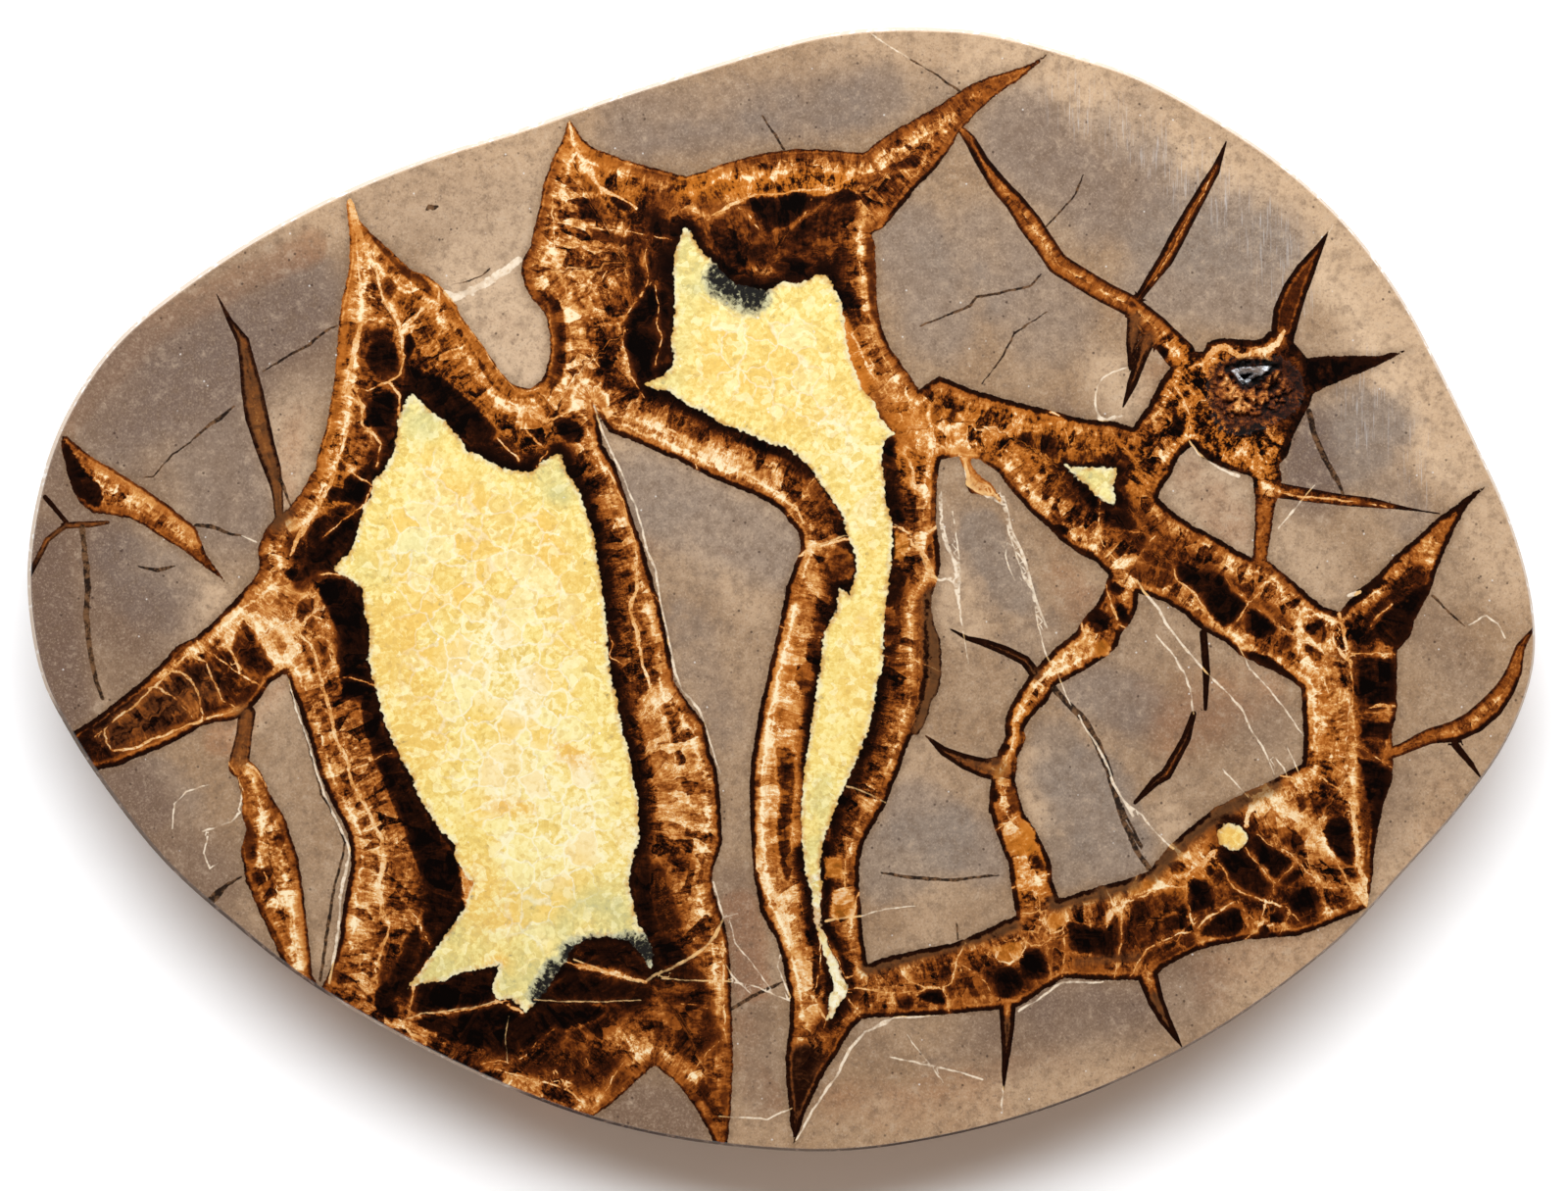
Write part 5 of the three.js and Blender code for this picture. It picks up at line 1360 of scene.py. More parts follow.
        (940, 780, 950, 960, 30, 0.3), (1190, 830, 1200, 850, 20, 0.5),
        (1200, 1030, 1330, 980, 30, 0.5), (1120, 1080, 1000, 1130, 36, 0.4),
        (750, 600, 770, 620, 20, 0.4), (770, 120, 720, 140, 20, 0.0), (1160, 590, 1110, 600, 20, 0.3),
        (220, 600, 180, 650, 24, 0.6), (1440, 860, 1420, 940, 34, 0.6), (975, 590, 985, 640, 26, 0.5),
        (1060, 780, 1060, 830, 26, 0.5), (690, 500, 760, 560, 50, 0.5), (240, 740, 290, 690, 24, 0.5),
    ],
    # Darker rock, mostly towards the left and bottom edges: partly darker stone, partly painted shade where
    # less light falls.
    "rock_dark": [
        (120, 400, 290, 330, 90, 0.75), (230, 420, 240, 540, 50, 0.4), (110, 620, 150, 640, 60, 0.75),
        (170, 880, 200, 900, 60, 0.75), (650, 130, 860, 100, 50, 0.3), (1060, 140, 1140, 200, 50, 0.35),
        (1030, 1040, 1200, 1010, 60, 0.6), (1110, 640, 1200, 760, 50, 0.2), (40, 560, 60, 720, 50, 1.0),
        (60, 480, 100, 560, 50, 0.8), (110, 400, 140, 500, 50, 0.5), (100, 620, 130, 690, 40, 0.5),
        (120, 790, 150, 830, 40, 0.9), (190, 870, 240, 960, 30, 0.5), (250, 960, 330, 1020, 24, 0.5),
        (330, 1030, 620, 1145, 20, 0.6), (640, 1130, 700, 1140, 40, 0.8),
        (750, 900, 760, 1000, 26, 0.5), (770, 1030, 780, 1120, 26, 0.4),
        (1050, 1025, 1160, 1025, 24, 0.7), (1330, 440, 1340, 500, 34, 0.8),
        (880, 1060, 900, 1080, 20, 0.2), (1460, 640, 1500, 690, 30, 0.3),
        (1150, 730, 1290, 740, 34, 0.4), (1100, 430, 1080, 410, 8, 0.5),
        (1430, 800, 1420, 860, 20, 0.3), (420, 200, 530, 240, 60, 0.2), (460, 300, 520, 360, 60, 0.15),
        (1210, 480, 1260, 540, 40, 0.25),
    ],
    # Painted shade: the chamfer along the bottom edges is darkened where it faces away from the light.
    "rim_painted_shade": [
        (560, 1130, 1000, 1155, 44, 1.0), (1000, 1155, 1120, 1120, 30, 0.9),
        (210, 930, 320, 1012, 24, 0.9), (1120, 1108, 1340, 990, 30, 0.65),
        (1340, 990, 1540, 760, 30, 0.45), (60, 740, 210, 920, 26, 0.75),
    ],
    # Scratches on the polish, with a painted reflection of the light along them.
    "scratches_and_sheen": [
        (1090, 100, 1200, 170, 30, 0.8), (1200, 170, 1290, 230, 34, 0.9),
        (1290, 230, 1320, 300, 30, 0.8), (1390, 380, 1400, 440, 30, 0.7),
        (1440, 440, 1450, 500, 22, 0.6),
    ],
    "calcite_white": [
        (500, 650, 533, 710, 30, 1.0), (520, 790, 640, 870, 40, 0.6), (560, 820, 560, 870, 40, 0.5),
        (470, 680, 500, 700, 26, 0.4), (850, 430, 890, 520, 26, 0.5), (590, 780, 600, 800, 14, 0.9),
        (834, 900, 836, 950, 9, 1.8), (836, 950, 858, 1012, 12, 1.8), (858, 1012, 844, 1040, 9, 1.8),
    ],
    "calcite_green": [
        (420, 410, 430, 430, 24, 0.9), (560, 470, 570, 500, 20, 0.9), (600, 940, 650, 930, 40, 0.9),
        (540, 1000, 580, 970, 40, 0.9), (440, 990, 470, 960, 34, 0.7), (700, 240, 700, 300, 26, 0.8),
        (690, 330, 680, 390, 20, 0.6), (840, 800, 828, 900, 14, 0.6), (1110, 490, 1135, 490, 24, 0.8),
        (420, 560, 380, 580, 20, 0.4), (500, 960, 560, 930, 40, 0.4),
    ],
    "calcite_amber": [
        (573, 765, 597, 775, 12, 1.0), (505, 820, 538, 826, 10, 0.9), (470, 520, 520, 560, 46, 0.4),
        (400, 640, 430, 760, 40, 0.5), (560, 560, 590, 640, 40, 0.4), (480, 900, 500, 930, 34, 0.6),
        (740, 380, 830, 400, 60, 0.3), (880, 640, 870, 720, 20, 0.3), (1250, 851, 1266, 858, 20, 0.9),
        (500, 985, 510, 980, 8, 1.0), (440, 600, 540, 600, 40, 0.3),
    ],
    "calcite_smoke": [
        (740, 285, 766, 300, 22, 1.0), (590, 975, 655, 970, 20, 1.0), (568, 990, 552, 1015, 14, 1.0),
    ],
}


def survey(xy):
    """Row coordinates in metres as tenths of a millimetre on the face's survey."""
    return np.stack((SLAB_CENTRE[0] + xy[:, 0] / TENTH, SLAB_CENTRE[1] - xy[:, 1] / TENTH), 1)


def place(points):
    """Survey points as row coordinates in metres."""
    spots = np.array([p[:2] for p in points], float)
    return np.stack(((spots[:, 0] - SLAB_CENTRE[0]) * TENTH, (SLAB_CENTRE[1] - spots[:, 1]) * TENTH), 1)


def smoothstep(low, high, value):
    t = np.clip((value - low) / (high - low), 0, 1)
    return t * t * (3 - 2 * t)


def nearest(points, runs):
    """The nearest spot on any run to each point: its place, its distance and the half width there.

    A run is an array of (x, y, half width). Nearness counts from the strand's skin, not its axis.
    """
    best = np.full(len(points), np.inf)
    spot = np.zeros((len(points), 2))
    width = np.zeros(len(points))
    for run in runs:
        for start, end in zip(run[:-1], run[1:]):
            step = end[:2] - start[:2]
            share = np.clip(((points - start[:2]) @ step) / max(step @ step, 1e-9), 0, 1)
            here = start[:2] + share[:, None] * step
            half = start[2] + share * (end[2] - start[2])
            reach = np.hypot(*(points - here).T) - half
            closer = reach < best
            best[closer] = reach[closer]
            spot[closer] = here[closer]
            width[closer] = half[closer]
    return spot, best + width, width


def inside(points, outline):
    """Which points lie inside a closed outline."""
    odd = np.zeros(len(points), bool)
    x, y = points.T
    for (x0, y0), (x1, y1) in zip(outline, np.roll(outline, -1, 0)):
        if y0 == y1:
            continue
        spans = (y0 > y) != (y1 > y)
        odd ^= spans & (x < x0 + (y - y0) * (x1 - x0) / (y1 - y0))
    return odd


PICTURE_SPAN = np.array((1600, 1215))


def wall_runs(outline):
    """An outline's edges that are real walls: those that don't run on far past the slab."""
    closed = np.vstack((outline, outline[:1]))
    near = ((closed > 0) & (closed < PICTURE_SPAN)).all(1)
    flat = np.column_stack((closed, np.zeros(len(closed))))
    return [flat[i:i + 2] for i in range(len(outline)) if near[i] and near[i + 1]]


def outlines(group):
    return [np.array(outline, float) for outline in group.values()]


def strands(group):
    return [np.array(strand, float) for strand in group.values()]


def zone(points, name):
    """How strongly a soft zone covers each point, up to its weights."""
    total = np.zeros(len(points))
    for x0, y0, x1, y1, radius, weight in ZONES[name]:
        run = np.array(((x0, y0, 0), (x1, y1, 0)), float)
        _, gap, _ = nearest(points, [run])
        total = np.maximum(total, weight * (1 - smoothstep(0.35 * radius, 1.35 * radius, gap)))
    return total

# --- Where the slab's patterns are sampled

# The veins lean a little as they go down through the slab: sideways millimetres per millimetre.
VEIN_LEAN = np.array((0.11, -0.07))

WALL_OUTLINES = outlines(ROCK)
WALLS = [run for outline in WALL_OUTLINES for run in wall_runs(outline)]
LENSES = outlines(VEIN_LENSES)
CALCITE_OUTLINES = outlines(CALCITE)
ALL_STRANDS = strands(VEIN_STRANDS)
ALL_CRACKS = strands(DARK_CRACKS)
ALL_HAIRLINES = strands(HAIRLINES)
ALL_SEAMS = strands(SEAMS)
FEEDS = strands(CALCITE_STRANDS)


def closed_runs(outline):
    """Every edge of a closed outline as a run of no width."""
    closed = np.vstack((outline, outline[:1]))
    flat = np.column_stack((closed, np.zeros(len(closed))))
    return [flat[i:i + 2] for i in range(len(outline))]


LENS_WALLS = [run for outline in LENSES for run in closed_runs(outline)]
CALCITE_EDGES = [run for outline in CALCITE_OUTLINES for run in closed_runs(outline)]
CELL_SETS = [outlines(group) for group in (BLACK_CELLS, BROWN_CELLS, GOLD_CELLS)]
CELL_EDGES = [run for group in CELL_SETS for outline in group for run in closed_runs(outline)]


def covered(points, shapes):
    """Which points lie inside any of the closed outlines."""
    hit = np.zeros(len(points), bool)
    for shape in shapes:
        hit |= inside(points, shape)
    return hit


def signed_depth(points, shapes, edges):
    """Depth inside the outlines, negative outside them, and the nearest spot on their edges."""
    spot, gap, _ = nearest(points, edges)
    return np.where(covered(points, shapes), gap, -gap), spot


CELL_REACH = 12


def cell_depth(points, shapes):
    """Depth inside the nearest cell, negative outside the cells and no less than -CELL_REACH."""
    depth = np.full(len(points), -float(CELL_REACH))
    for shape in shapes:
        near = ((points > shape.min(0) - CELL_REACH) & (points < shape.max(0) + CELL_REACH)).all(1)
        if near.any():
            within, _ = signed_depth(points[near], [shape], closed_runs(shape))
            depth[near] = np.maximum(depth[near], within)
    return depth


def strand_depth(points, runs):
    """Depth inside strands that have a width, with the offset to the axis and the half width."""
    spot, gap, width = nearest(points, runs)
    return width - gap, points - spot, gap, width


# --- Rings of the CAD slab

cad_points = np.unique(np.round([v.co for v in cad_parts[SLAB].data.vertices], 7), axis=0)
POCKET_CENTRE = np.array((0.0479, 0.0212))
POCKET_REACH = 10 * MM
in_pocket = np.hypot(*(cad_points[:, :2] - POCKET_CENTRE).T) < POCKET_REACH


def ring_of(points, centre):
    """Points in order around a centre, counterclockwise from -X."""
    return points[np.argsort(np.arctan2(points[:, 1] - centre[1], points[:, 0] - centre[0]))]


def cad_rings(points, centre):
    """The rings of a stack of cuts through the CAD slab, highest first, started side by side."""
    levels = sorted(set(np.round(points[:, 2], 6)), reverse=True)
    rings = [ring_of(points[np.abs(points[:, 2] - level) < 1e-6], centre) for level in levels]
    first = rings[0][0, :2]
    return [np.roll(ring, -np.argmin(np.hypot(*(ring[:, :2] - first).T)), 0) for ring in rings]


def resample(ring, count):
    """A closed ring as evenly spaced points on a smooth curve through it."""
    before, after, far = np.roll(ring, 1, 0), np.roll(ring, -1, 0), np.roll(ring, -2, 0)
    t = np.linspace(0, 1, 8, endpoint=False)[None, :, None]
    p0, p1, p2, p3 = (r[:, None, :] for r in (before, ring, after, far))
    bend, twist = 2 * p0 - 5 * p1 + 4 * p2 - p3, 3 * p1 - p0 - 3 * p2 + p3
    curve = 0.5 * (2 * p1 + (p2 - p0) * t + bend * t**2 + twist * t**3)
    curve = curve.reshape(-1, ring.shape[1])
    closed = np.vstack((curve, curve[:1]))
    length = np.concatenate(([0], np.cumsum(np.linalg.norm(np.diff(closed, axis=0), axis=1))))
    wanted = np.linspace(0, length[-1], count, endpoint=False)
    return np.stack([np.interp(wanted, length, closed[:, axis]) for axis in range(ring.shape[1])], 1)


rng = np.random.default_rng(11)
RIM_COUNT = 860
OUTER_RINGS = [resample(ring, RIM_COUNT) for ring in cad_rings(cad_points[~in_pocket], (0, 0))]
THROAT_COUNT = 56
# The open part of the hole, a small triangle between pale crystals, on the face's survey.
HOLE_SHAPE = [(1268, 381.5), (1270, 383.5), (1272, 385.5), (1276, 382.5), (1280, 380), (1274, 380.5)]
# The pale crystals that close in on the hole.
PALE_SPOT = [(1256, 378), (1266, 374.5), (1299, 373), (1283, 387), (1272, 392.5)]
MOUTH, _, POCKET_BACK = cad_rings(cad_points[in_pocket], POCKET_CENTRE)
THROAT_RING = resample(place(HOLE_SHAPE), THROAT_COUNT)
POCKET_BACK_RING = resample(POCKET_BACK, THROAT_COUNT)


# --- Lattices and sheets

FINE_STEP = 0.325 * MM
BACK_STEP = 0.75 * MM
WALL_MARGIN = 0.55 * MM


def lattice(step, ring):
    """Points of a hexagonal grid over a ring's box, with how coarse a grid each point still belongs to."""
    low, high = ring[:, :2].min(0), ring[:, :2].max(0)
    rows = np.arange(int((high[1] - low[1]) / (step * math.sqrt(0.75))) + 1)
    columns = np.arange(-len(rows), int((high[0] - low[0]) / step) + 1)
    a, b = np.meshgrid(columns, rows)
    a, b = a.ravel(), b.ravel()
    points = low + np.stack(((a + 0.5 * b) * step, b * math.sqrt(0.75) * step), 1)
    level = np.zeros(len(points), int)
    for stride, mark in ((2, 1), (4, 2)):
        level[(a % stride == 0) & (b % stride == 0)] = mark
    kept = (points[:, 0] >= low[0]) & (points[:, 0] <= high[0])
    return points[kept], level[kept]


def feature_tree(runs, spacing):
    """A search tree of points along the runs, in survey units, with their half widths."""
    spots = []
    for run in runs:
        for start, end in zip(run[:-1], run[1:]):
            count = max(int(np.hypot(*(end - start)[:2]) / spacing), 1)
            spots += [start + (end - start) * k / count for k in range(count + 1)]
    tree = KDTree(len(spots))
    for index, (x, y, half) in enumerate(spots):
        tree.insert((x, y, 0), index)
    tree.balance()
    return tree, np.array([half for _, _, half in spots])


FEATURES = WALLS + LENS_WALLS + CALCITE_EDGES + ALL_STRANDS + ALL_CRACKS + ALL_HAIRLINES + ALL_SEAMS + FEEDS


def feature_gap(points, runs):
    """About how far each point is from the nearest of the runs, in metres."""
    tree, half = feature_tree(runs, 3)
    spots = survey(points)
    found = [tree.find((x, y, 0)) for x, y in spots]
    return np.array([max(gap - half[index], 0) for _, index, gap in found]) * TENTH


def clear_of(points, ring, margin):
    """Which points stay at least a margin away from a ring."""
    run = np.column_stack((np.vstack((ring, ring[:1]))[:, :2], np.zeros(len(ring) + 1)))
    return nearest(points, [run])[1] > margin


def sheet(ring, hole, points):
    """Triangles of a flat sheet between an outer ring and a hole, through the given points.

    The vertices come back in order: the outer ring, the hole, then the points.
    """
    spots = np.vstack((ring[:, :2], hole[:, :2], points))
    outer = [(i, (i + 1) % len(ring)) for i in range(len(ring))]
    inner = [(len(ring) + i, len(ring) + (i + 1) % len(hole)) for i in range(len(hole))]
    vertices, _, faces, origins, _, _ = delaunay_2d_cdt(
        [tuple(p) for p in spots], outer + inner, [], 0, 1e-9)
    where = np.array([o[0] for o in origins])
    faces = where[np.array(faces)]
    middle = spots[faces].mean(1)
    faces = faces[inside(middle, ring[:, :2]) & ~inside(middle, hole[:, :2])]
    a, b, c = (spots[faces[:, k]] for k in range(3))
    left_turn = (b[:, 0] - a[:, 0]) * (c[:, 1] - a[:, 1]) - (b[:, 1] - a[:, 1]) * (c[:, 0] - a[:, 0]) > 0
    faces[~left_turn] = faces[~left_turn][:, ::-1]
    return spots, faces


# --- The slab's mesh

POCKET_STEP = 0.17 * MM
# Where the hole is narrowest. The crystals around it stand higher than the CAD's plain throat.
THROAT_HEIGHT = 6.4 * MM
mouth_loop = MOUTH[:, :2]
mouth_run = np.column_stack((np.vstack((mouth_loop, mouth_loop[:1])), np.zeros(len(mouth_loop) + 1)))
throat_loop = THROAT_RING
throat_run = np.column_stack((np.vstack((throat_loop, throat_loop[:1])), np.zeros(len(throat_loop) + 1)))

# Crystals that line the pocket: how many, their size and their height above the wall.
DRUSE_COUNT = 260
DRUSE_RADIUS = (0.35 * MM, 0.95 * MM)
DRUSE_HEIGHT = (0.5 * MM, 1.5 * MM)


def funnel(points):
    """The pocket wall's height, and how far down it is from 0 at the mouth to 1 at the throat."""
    _, from_mouth, _ = nearest(points, [mouth_run])
    _, from_throat, _ = nearest(points, [throat_run])
    down = np.where(inside(points, mouth_loop), from_mouth / (from_mouth + from_throat), 0)
    return THICKNESS - (THICKNESS - THROAT_HEIGHT) * down ** 1.3, down


def druse(points, base, down):
    """The pocket wall with its crystals: blunt three- to six-sided points that crowd each other."""
    low, high = mouth_loop.min(0), mouth_loop.max(0)
    seeds = low + (high - low) * rng.random((DRUSE_COUNT * 2, 2))
    seeds = seeds[inside(seeds, mouth_loop)][:DRUSE_COUNT]
    seed_base, _ = funnel(seeds)
    height = base.copy()
    for seed, foot in zip(seeds, seed_base):
        sides = rng.integers(3, 7)
        radius = rng.uniform(*DRUSE_RADIUS)
        top = min(foot + rng.uniform(*DRUSE_HEIGHT), THICKNESS - 0.1 * MM)
        turn = rng.uniform(0, 2 * math.pi)
        tilt = rng.normal(0, 0.25, 2)
        away = points - seed
        facets = [away @ (math.cos(turn + k * 2 * math.pi / sides), math.sin(turn + k * 2 * math.pi / sides))
                  for k in range(sides)]
        spread = np.max(facets, 0)
        blunt = np.maximum(spread - 0.25 * radius, 0) / radius
        height = np.maximum(height, top - blunt * 2.2 * MM + away @ tilt * (blunt < 1))
    fade = smoothstep(0, 0.04, down) * (1 - 0.5 * smoothstep(0.92, 1, down))
    return base + (np.minimum(height, THICKNESS) - base) * fade


def front_points():
    """Points of the polished face, close together where the pattern is fine."""
    points, level = lattice(FINE_STEP, OUTER_RINGS[0])
    spots = survey(points)
    gap = feature_gap(points, FEATURES + CELL_EDGES)
    in_rock = covered(spots, WALL_OUTLINES)
    need = np.where(gap < WALL_MARGIN, 0, np.where(in_rock & (gap > 3 * WALL_MARGIN), 2, 1))
    in_mouth = inside(points, mouth_loop)
    points = points[(level >= need) & ~in_mouth]
    points = points[inside(points, OUTER_RINGS[0][:, :2])]
    points = points[clear_of(points, OUTER_RINGS[0], 0.3 * MM)]
    pocket, _ = lattice(POCKET_STEP, MOUTH)
    pocket = pocket[inside(pocket, mouth_loop) & ~inside(pocket, throat_loop)]
    pocket = pocket[clear_of(pocket, THROAT_RING, 0.5 * POCKET_STEP)]
    return np.vstack((points, pocket))


def back_points():
    points, level = lattice(BACK_STEP, OUTER_RINGS[-1])
    gap = feature_gap(points, FEATURES)
    points = points[(level >= np.where(gap < WALL_MARGIN, 0, 1))]
    points = points[inside(points, OUTER_RINGS[-1][:, :2]) & ~inside(points, POCKET_BACK_RING[:, :2])]
    points = points[clear_of(points, OUTER_RINGS[-1], 0.4 * MM)]
    return points[clear_of(points, POCKET_BACK_RING, 0.3 * MM)]


def bridge(upper, lower, flip=False):
    """Triangles between two rings of equal length, given as vertex numbers."""
    next_upper, next_lower = np.roll(upper, -1), np.roll(lower, -1)
    faces = np.vstack((
        np.column_stack((upper, lower, next_lower)),
        np.column_stack((upper, next_lower, next_upper)),
    ))
    return faces[:, ::-1] if flip else faces


# Shares of the way down between the CAD's own rings at which the side wall gets more rings.
RING_FILL = (2, 3, 3, 2, 1)


def side_rings():
    """Rings down the side wall, from just under the face edge to just above the back edge."""
    rings = []
    for upper, lower, count in zip(OUTER_RINGS[:-1], OUTER_RINGS[1:], RING_FILL):
        for k in range(count):
            share = k / count
            rings.append(upper * (1 - share) + lower * share)
    return rings[1:]


def slab_mesh():
    """The whole slab as vertices and triangles, and which vertices belong to which surface."""
    front_xy, front_faces = sheet(OUTER_RINGS[0], THROAT_RING, front_points())
    back_xy, back_faces = sheet(OUTER_RINGS[-1], POCKET_BACK_RING, back_points())
    height, down = funnel(front_xy)
    in_mouth = inside(front_xy, mouth_loop)
    z = np.full(len(front_xy), THICKNESS)
    z[in_mouth] = druse(front_xy[in_mouth], height[in_mouth], down[in_mouth])
    throat_numbers = RIM_COUNT + np.arange(THROAT_COUNT)
    z[throat_numbers] = THROAT_HEIGHT
    front = np.column_stack((front_xy, z))
    sides = side_rings()
    back = np.column_stack((back_xy, np.zeros(len(back_xy))))
    vertices = np.vstack([front] + sides + [back])
    side_start = len(front)
    back_start = side_start + RIM_COUNT * len(sides)
    chain = [np.arange(RIM_COUNT)]
    chain += [side_start + RIM_COUNT * k + np.arange(RIM_COUNT) for k in range(len(sides))]
    chain.append(back_start + np.arange(RIM_COUNT))
    faces = [front_faces]
    faces += [bridge(upper, lower) for upper, lower in zip(chain[:-1], chain[1:])]
    faces.append(bridge(throat_numbers, back_start + RIM_COUNT + np.arange(THROAT_COUNT), flip=True))
    faces.append(back_faces[:, ::-1] + back_start)
    surfaces = [len(f) for f in faces]
    return vertices, np.vstack(faces), surfaces

# The zones that go to the material together, three to a mesh attribute.
ZONE_TRIPLES = {
    "vein_zone": ("vein_dark", "vein_light", "vein_web"),
    "rock_zone": ("rock_core", "rock_pale", "rock_dark"),
    "more_zone": ("vein_plain", "vein_soft", "rock_warm"),
    "calcite_zone": ("calcite_white", "calcite_green", "calcite_amber"),
    "extra_zone": ("vein_grit", "rock_cool", "vein_orange"),
}


def fields(vertices):
    """Everything the stone's material needs to know at each vertex, as named triples."""
    height = vertices[:, 2]
    lean = (THICKNESS - height)[:, None] * VEIN_LEAN
    lean[:, :] *= (height < THICKNESS - 1.2 * MM)[:, None]
    spots = survey(vertices[:, :2] + lean)
    rock_depth, rock_spot = signed_depth(spots, WALL_OUTLINES, WALLS)
    lens_depth, lens_spot = signed_depth(spots, LENSES, LENS_WALLS)
    vein_depth = -rock_depth
    wall_spot = rock_spot
    lens_wins = lens_depth > vein_depth
    vein_depth = np.maximum(vein_depth, lens_depth)
    wall_spot = np.where(lens_wins[:, None], lens_spot, wall_spot)
    inner, offset, strand_gap, strand_half = strand_depth(spots, ALL_STRANDS)
    axis_gap = np.maximum(np.hypot(*offset.T), 1e-6)[:, None]
    skin_spot = spots - offset + offset / axis_gap * strand_half[:, None]
    wall_spot = np.where((inner > vein_depth)[:, None], skin_spot, wall_spot)
    outward = spots - wall_spot
    fan = outward / np.maximum(np.hypot(*outward.T), 1e-6)[:, None] * 15
    calcite_depth, calcite_spot = signed_depth(spots, CALCITE_OUTLINES, CALCITE_EDGES)
    feed_depth, _, _, _ = strand_depth(spots, FEEDS)
    calcite_depth = np.maximum(calcite_depth, feed_depth)
    comb = calcite_spot + (spots - calcite_spot) / np.maximum(np.abs(calcite_depth), 1e-6)[:, None] * 10
    _, crack_offset, crack_gap, crack_half = strand_depth(spots, ALL_CRACKS)
    _, hair_offset, hair_gap, hair_half = strand_depth(spots, ALL_HAIRLINES)
    rim_run = np.column_stack((survey(OUTER_RINGS[0][::4, :2]), np.zeros(len(OUTER_RINGS[0][::4]))))
    _, rim_gap, _ = nearest(spots, [np.vstack((rim_run, rim_run[:1]))])
    base, down = funnel(vertices[:, :2])
    on_face = (height > THICKNESS - 0.02 * MM) | inside(vertices[:, :2], mouth_loop)
    pocket = inside(vertices[:, :2], mouth_loop).astype(float)
    _, seam_offset, seam_gap, seam_half = strand_depth(spots, ALL_SEAMS)
    table = {
        "wall": (vein_depth, calcite_depth, rim_gap),
        # The third number is the painted shade on the rim's bottom chamfer.
        "fibre": (wall_spot[:, 0] + fan[:, 0], wall_spot[:, 1] + fan[:, 1], 10 * zone(spots, "rim_painted_shade")),
        "strand": (offset[:, 0], offset[:, 1], strand_half),
        "crack": (crack_offset[:, 0], crack_offset[:, 1], crack_half),
        "hair": (hair_offset[:, 0], hair_offset[:, 1], hair_half),
        "reach": (strand_gap, crack_gap, hair_gap),
        "comb": (comb[:, 0], comb[:, 1], seam_gap),
        "seam": (seam_offset[:, 0], seam_offset[:, 1], seam_half),
        "cell": [cell_depth(spots, shapes) for shapes in CELL_SETS],
    }
    table = {name: np.stack(columns, 1) * 0.1 for name, columns in table.items()}
    for triple, names in ZONE_TRIPLES.items():
        table[triple] = np.stack([zone(spots, name) for name in names], 1)
    relief = (height - base) / MM
    spot_depth = cell_depth(spots, [np.array(PALE_SPOT, float)]) * 0.1
    table["place"] = np.stack((zone(spots, "calcite_smoke"), pocket * down, spot_depth), 1)
    table["relief"] = np.stack((relief * pocket, on_face.astype(float), zone(spots, "scratches_and_sheen")), 1)
    return table


# --- Shader building

class Graph:
    """The node tree that is being built."""
    tree = None


def new_node(kind, **settings):
    node = Graph.tree.nodes.new(kind)
    for name, value in settings.items():
        setattr(node, name, value)
    return node


def feed(node_input, value):
    """Gives a node input a field, or a plain number or colour."""
    if isinstance(value, Field):
        Graph.tree.links.new(value.socket, node_input)
    else:
        node_input.default_value = value


def arithmetic(operation, *values):
    node = new_node("ShaderNodeMath", operation=operation)
    for node_input, value in zip(node.inputs, values):
        feed(node_input, value)
    return Field(node.outputs[0])


class Field:
    """A number, colour or place that varies over the surface."""

    def __init__(self, socket):
        self.socket = socket

    def __add__(self, other):
        return arithmetic("ADD", self, other)

    def __sub__(self, other):
        return arithmetic("SUBTRACT", self, other)

    def __rsub__(self, other):
        return arithmetic("SUBTRACT", other, self)

    def __mul__(self, other):
        return arithmetic("MULTIPLY", self, other)

    def __truediv__(self, other):
        return arithmetic("DIVIDE", self, other)

    __radd__ = __add__
    __rmul__ = __mul__


def higher(a, b):
    return arithmetic("MAXIMUM", a, b)


def lower(a, b):
    return arithmetic("MINIMUM", a, b)


def ease(value, low, high):
    """0 below low, 1 above high, smooth between. low may be the larger, to turn it round."""
    node = new_node("ShaderNodeMapRange", interpolation_type="SMOOTHSTEP")
    feed(node.inputs["Value"], value)
    feed(node.inputs["From Min"], low)
    feed(node.inputs["From Max"], high)
    return Field(node.outputs["Result"])


def attribute(name):
    """The three numbers of a mesh attribute."""
    node = new_node("ShaderNodeAttribute", attribute_name=name)
    parts = new_node("ShaderNodeSeparateXYZ")
    Graph.tree.links.new(node.outputs["Vector"], parts.inputs[0])
    return [Field(output) for output in parts.outputs]


def parts_of(place_field):
    parts = new_node("ShaderNodeSeparateXYZ")
    feed(parts.inputs[0], place_field)
    return [Field(output) for output in parts.outputs]


def point(x, y, z):
    node = new_node("ShaderNodeCombineXYZ")
    for node_input, value in zip(node.inputs, (x, y, z)):
        feed(node_input, value)
    return Field(node.outputs[0])


def stretched(place_field, x, y, z):
    node = new_node("ShaderNodeVectorMath", operation="MULTIPLY")
    feed(node.inputs[0], place_field)
    node.inputs[1].default_value = (x, y, z)
    return Field(node.outputs[0])


def noise(where, size, detail=2.0, roughness=0.5, distortion=0.0):
    """Smooth noise between 0 and 1 with features of a size in millimetres."""
    node = new_node("ShaderNodeTexNoise", noise_dimensions="3D")
    feed(node.inputs["Vector"], where)
    node.inputs["Scale"].default_value = 1 / size
    node.inputs["Detail"].default_value = detail
    node.inputs["Roughness"].default_value = roughness
    node.inputs["Distortion"].default_value = distortion
    return Field(node.outputs["Fac"])


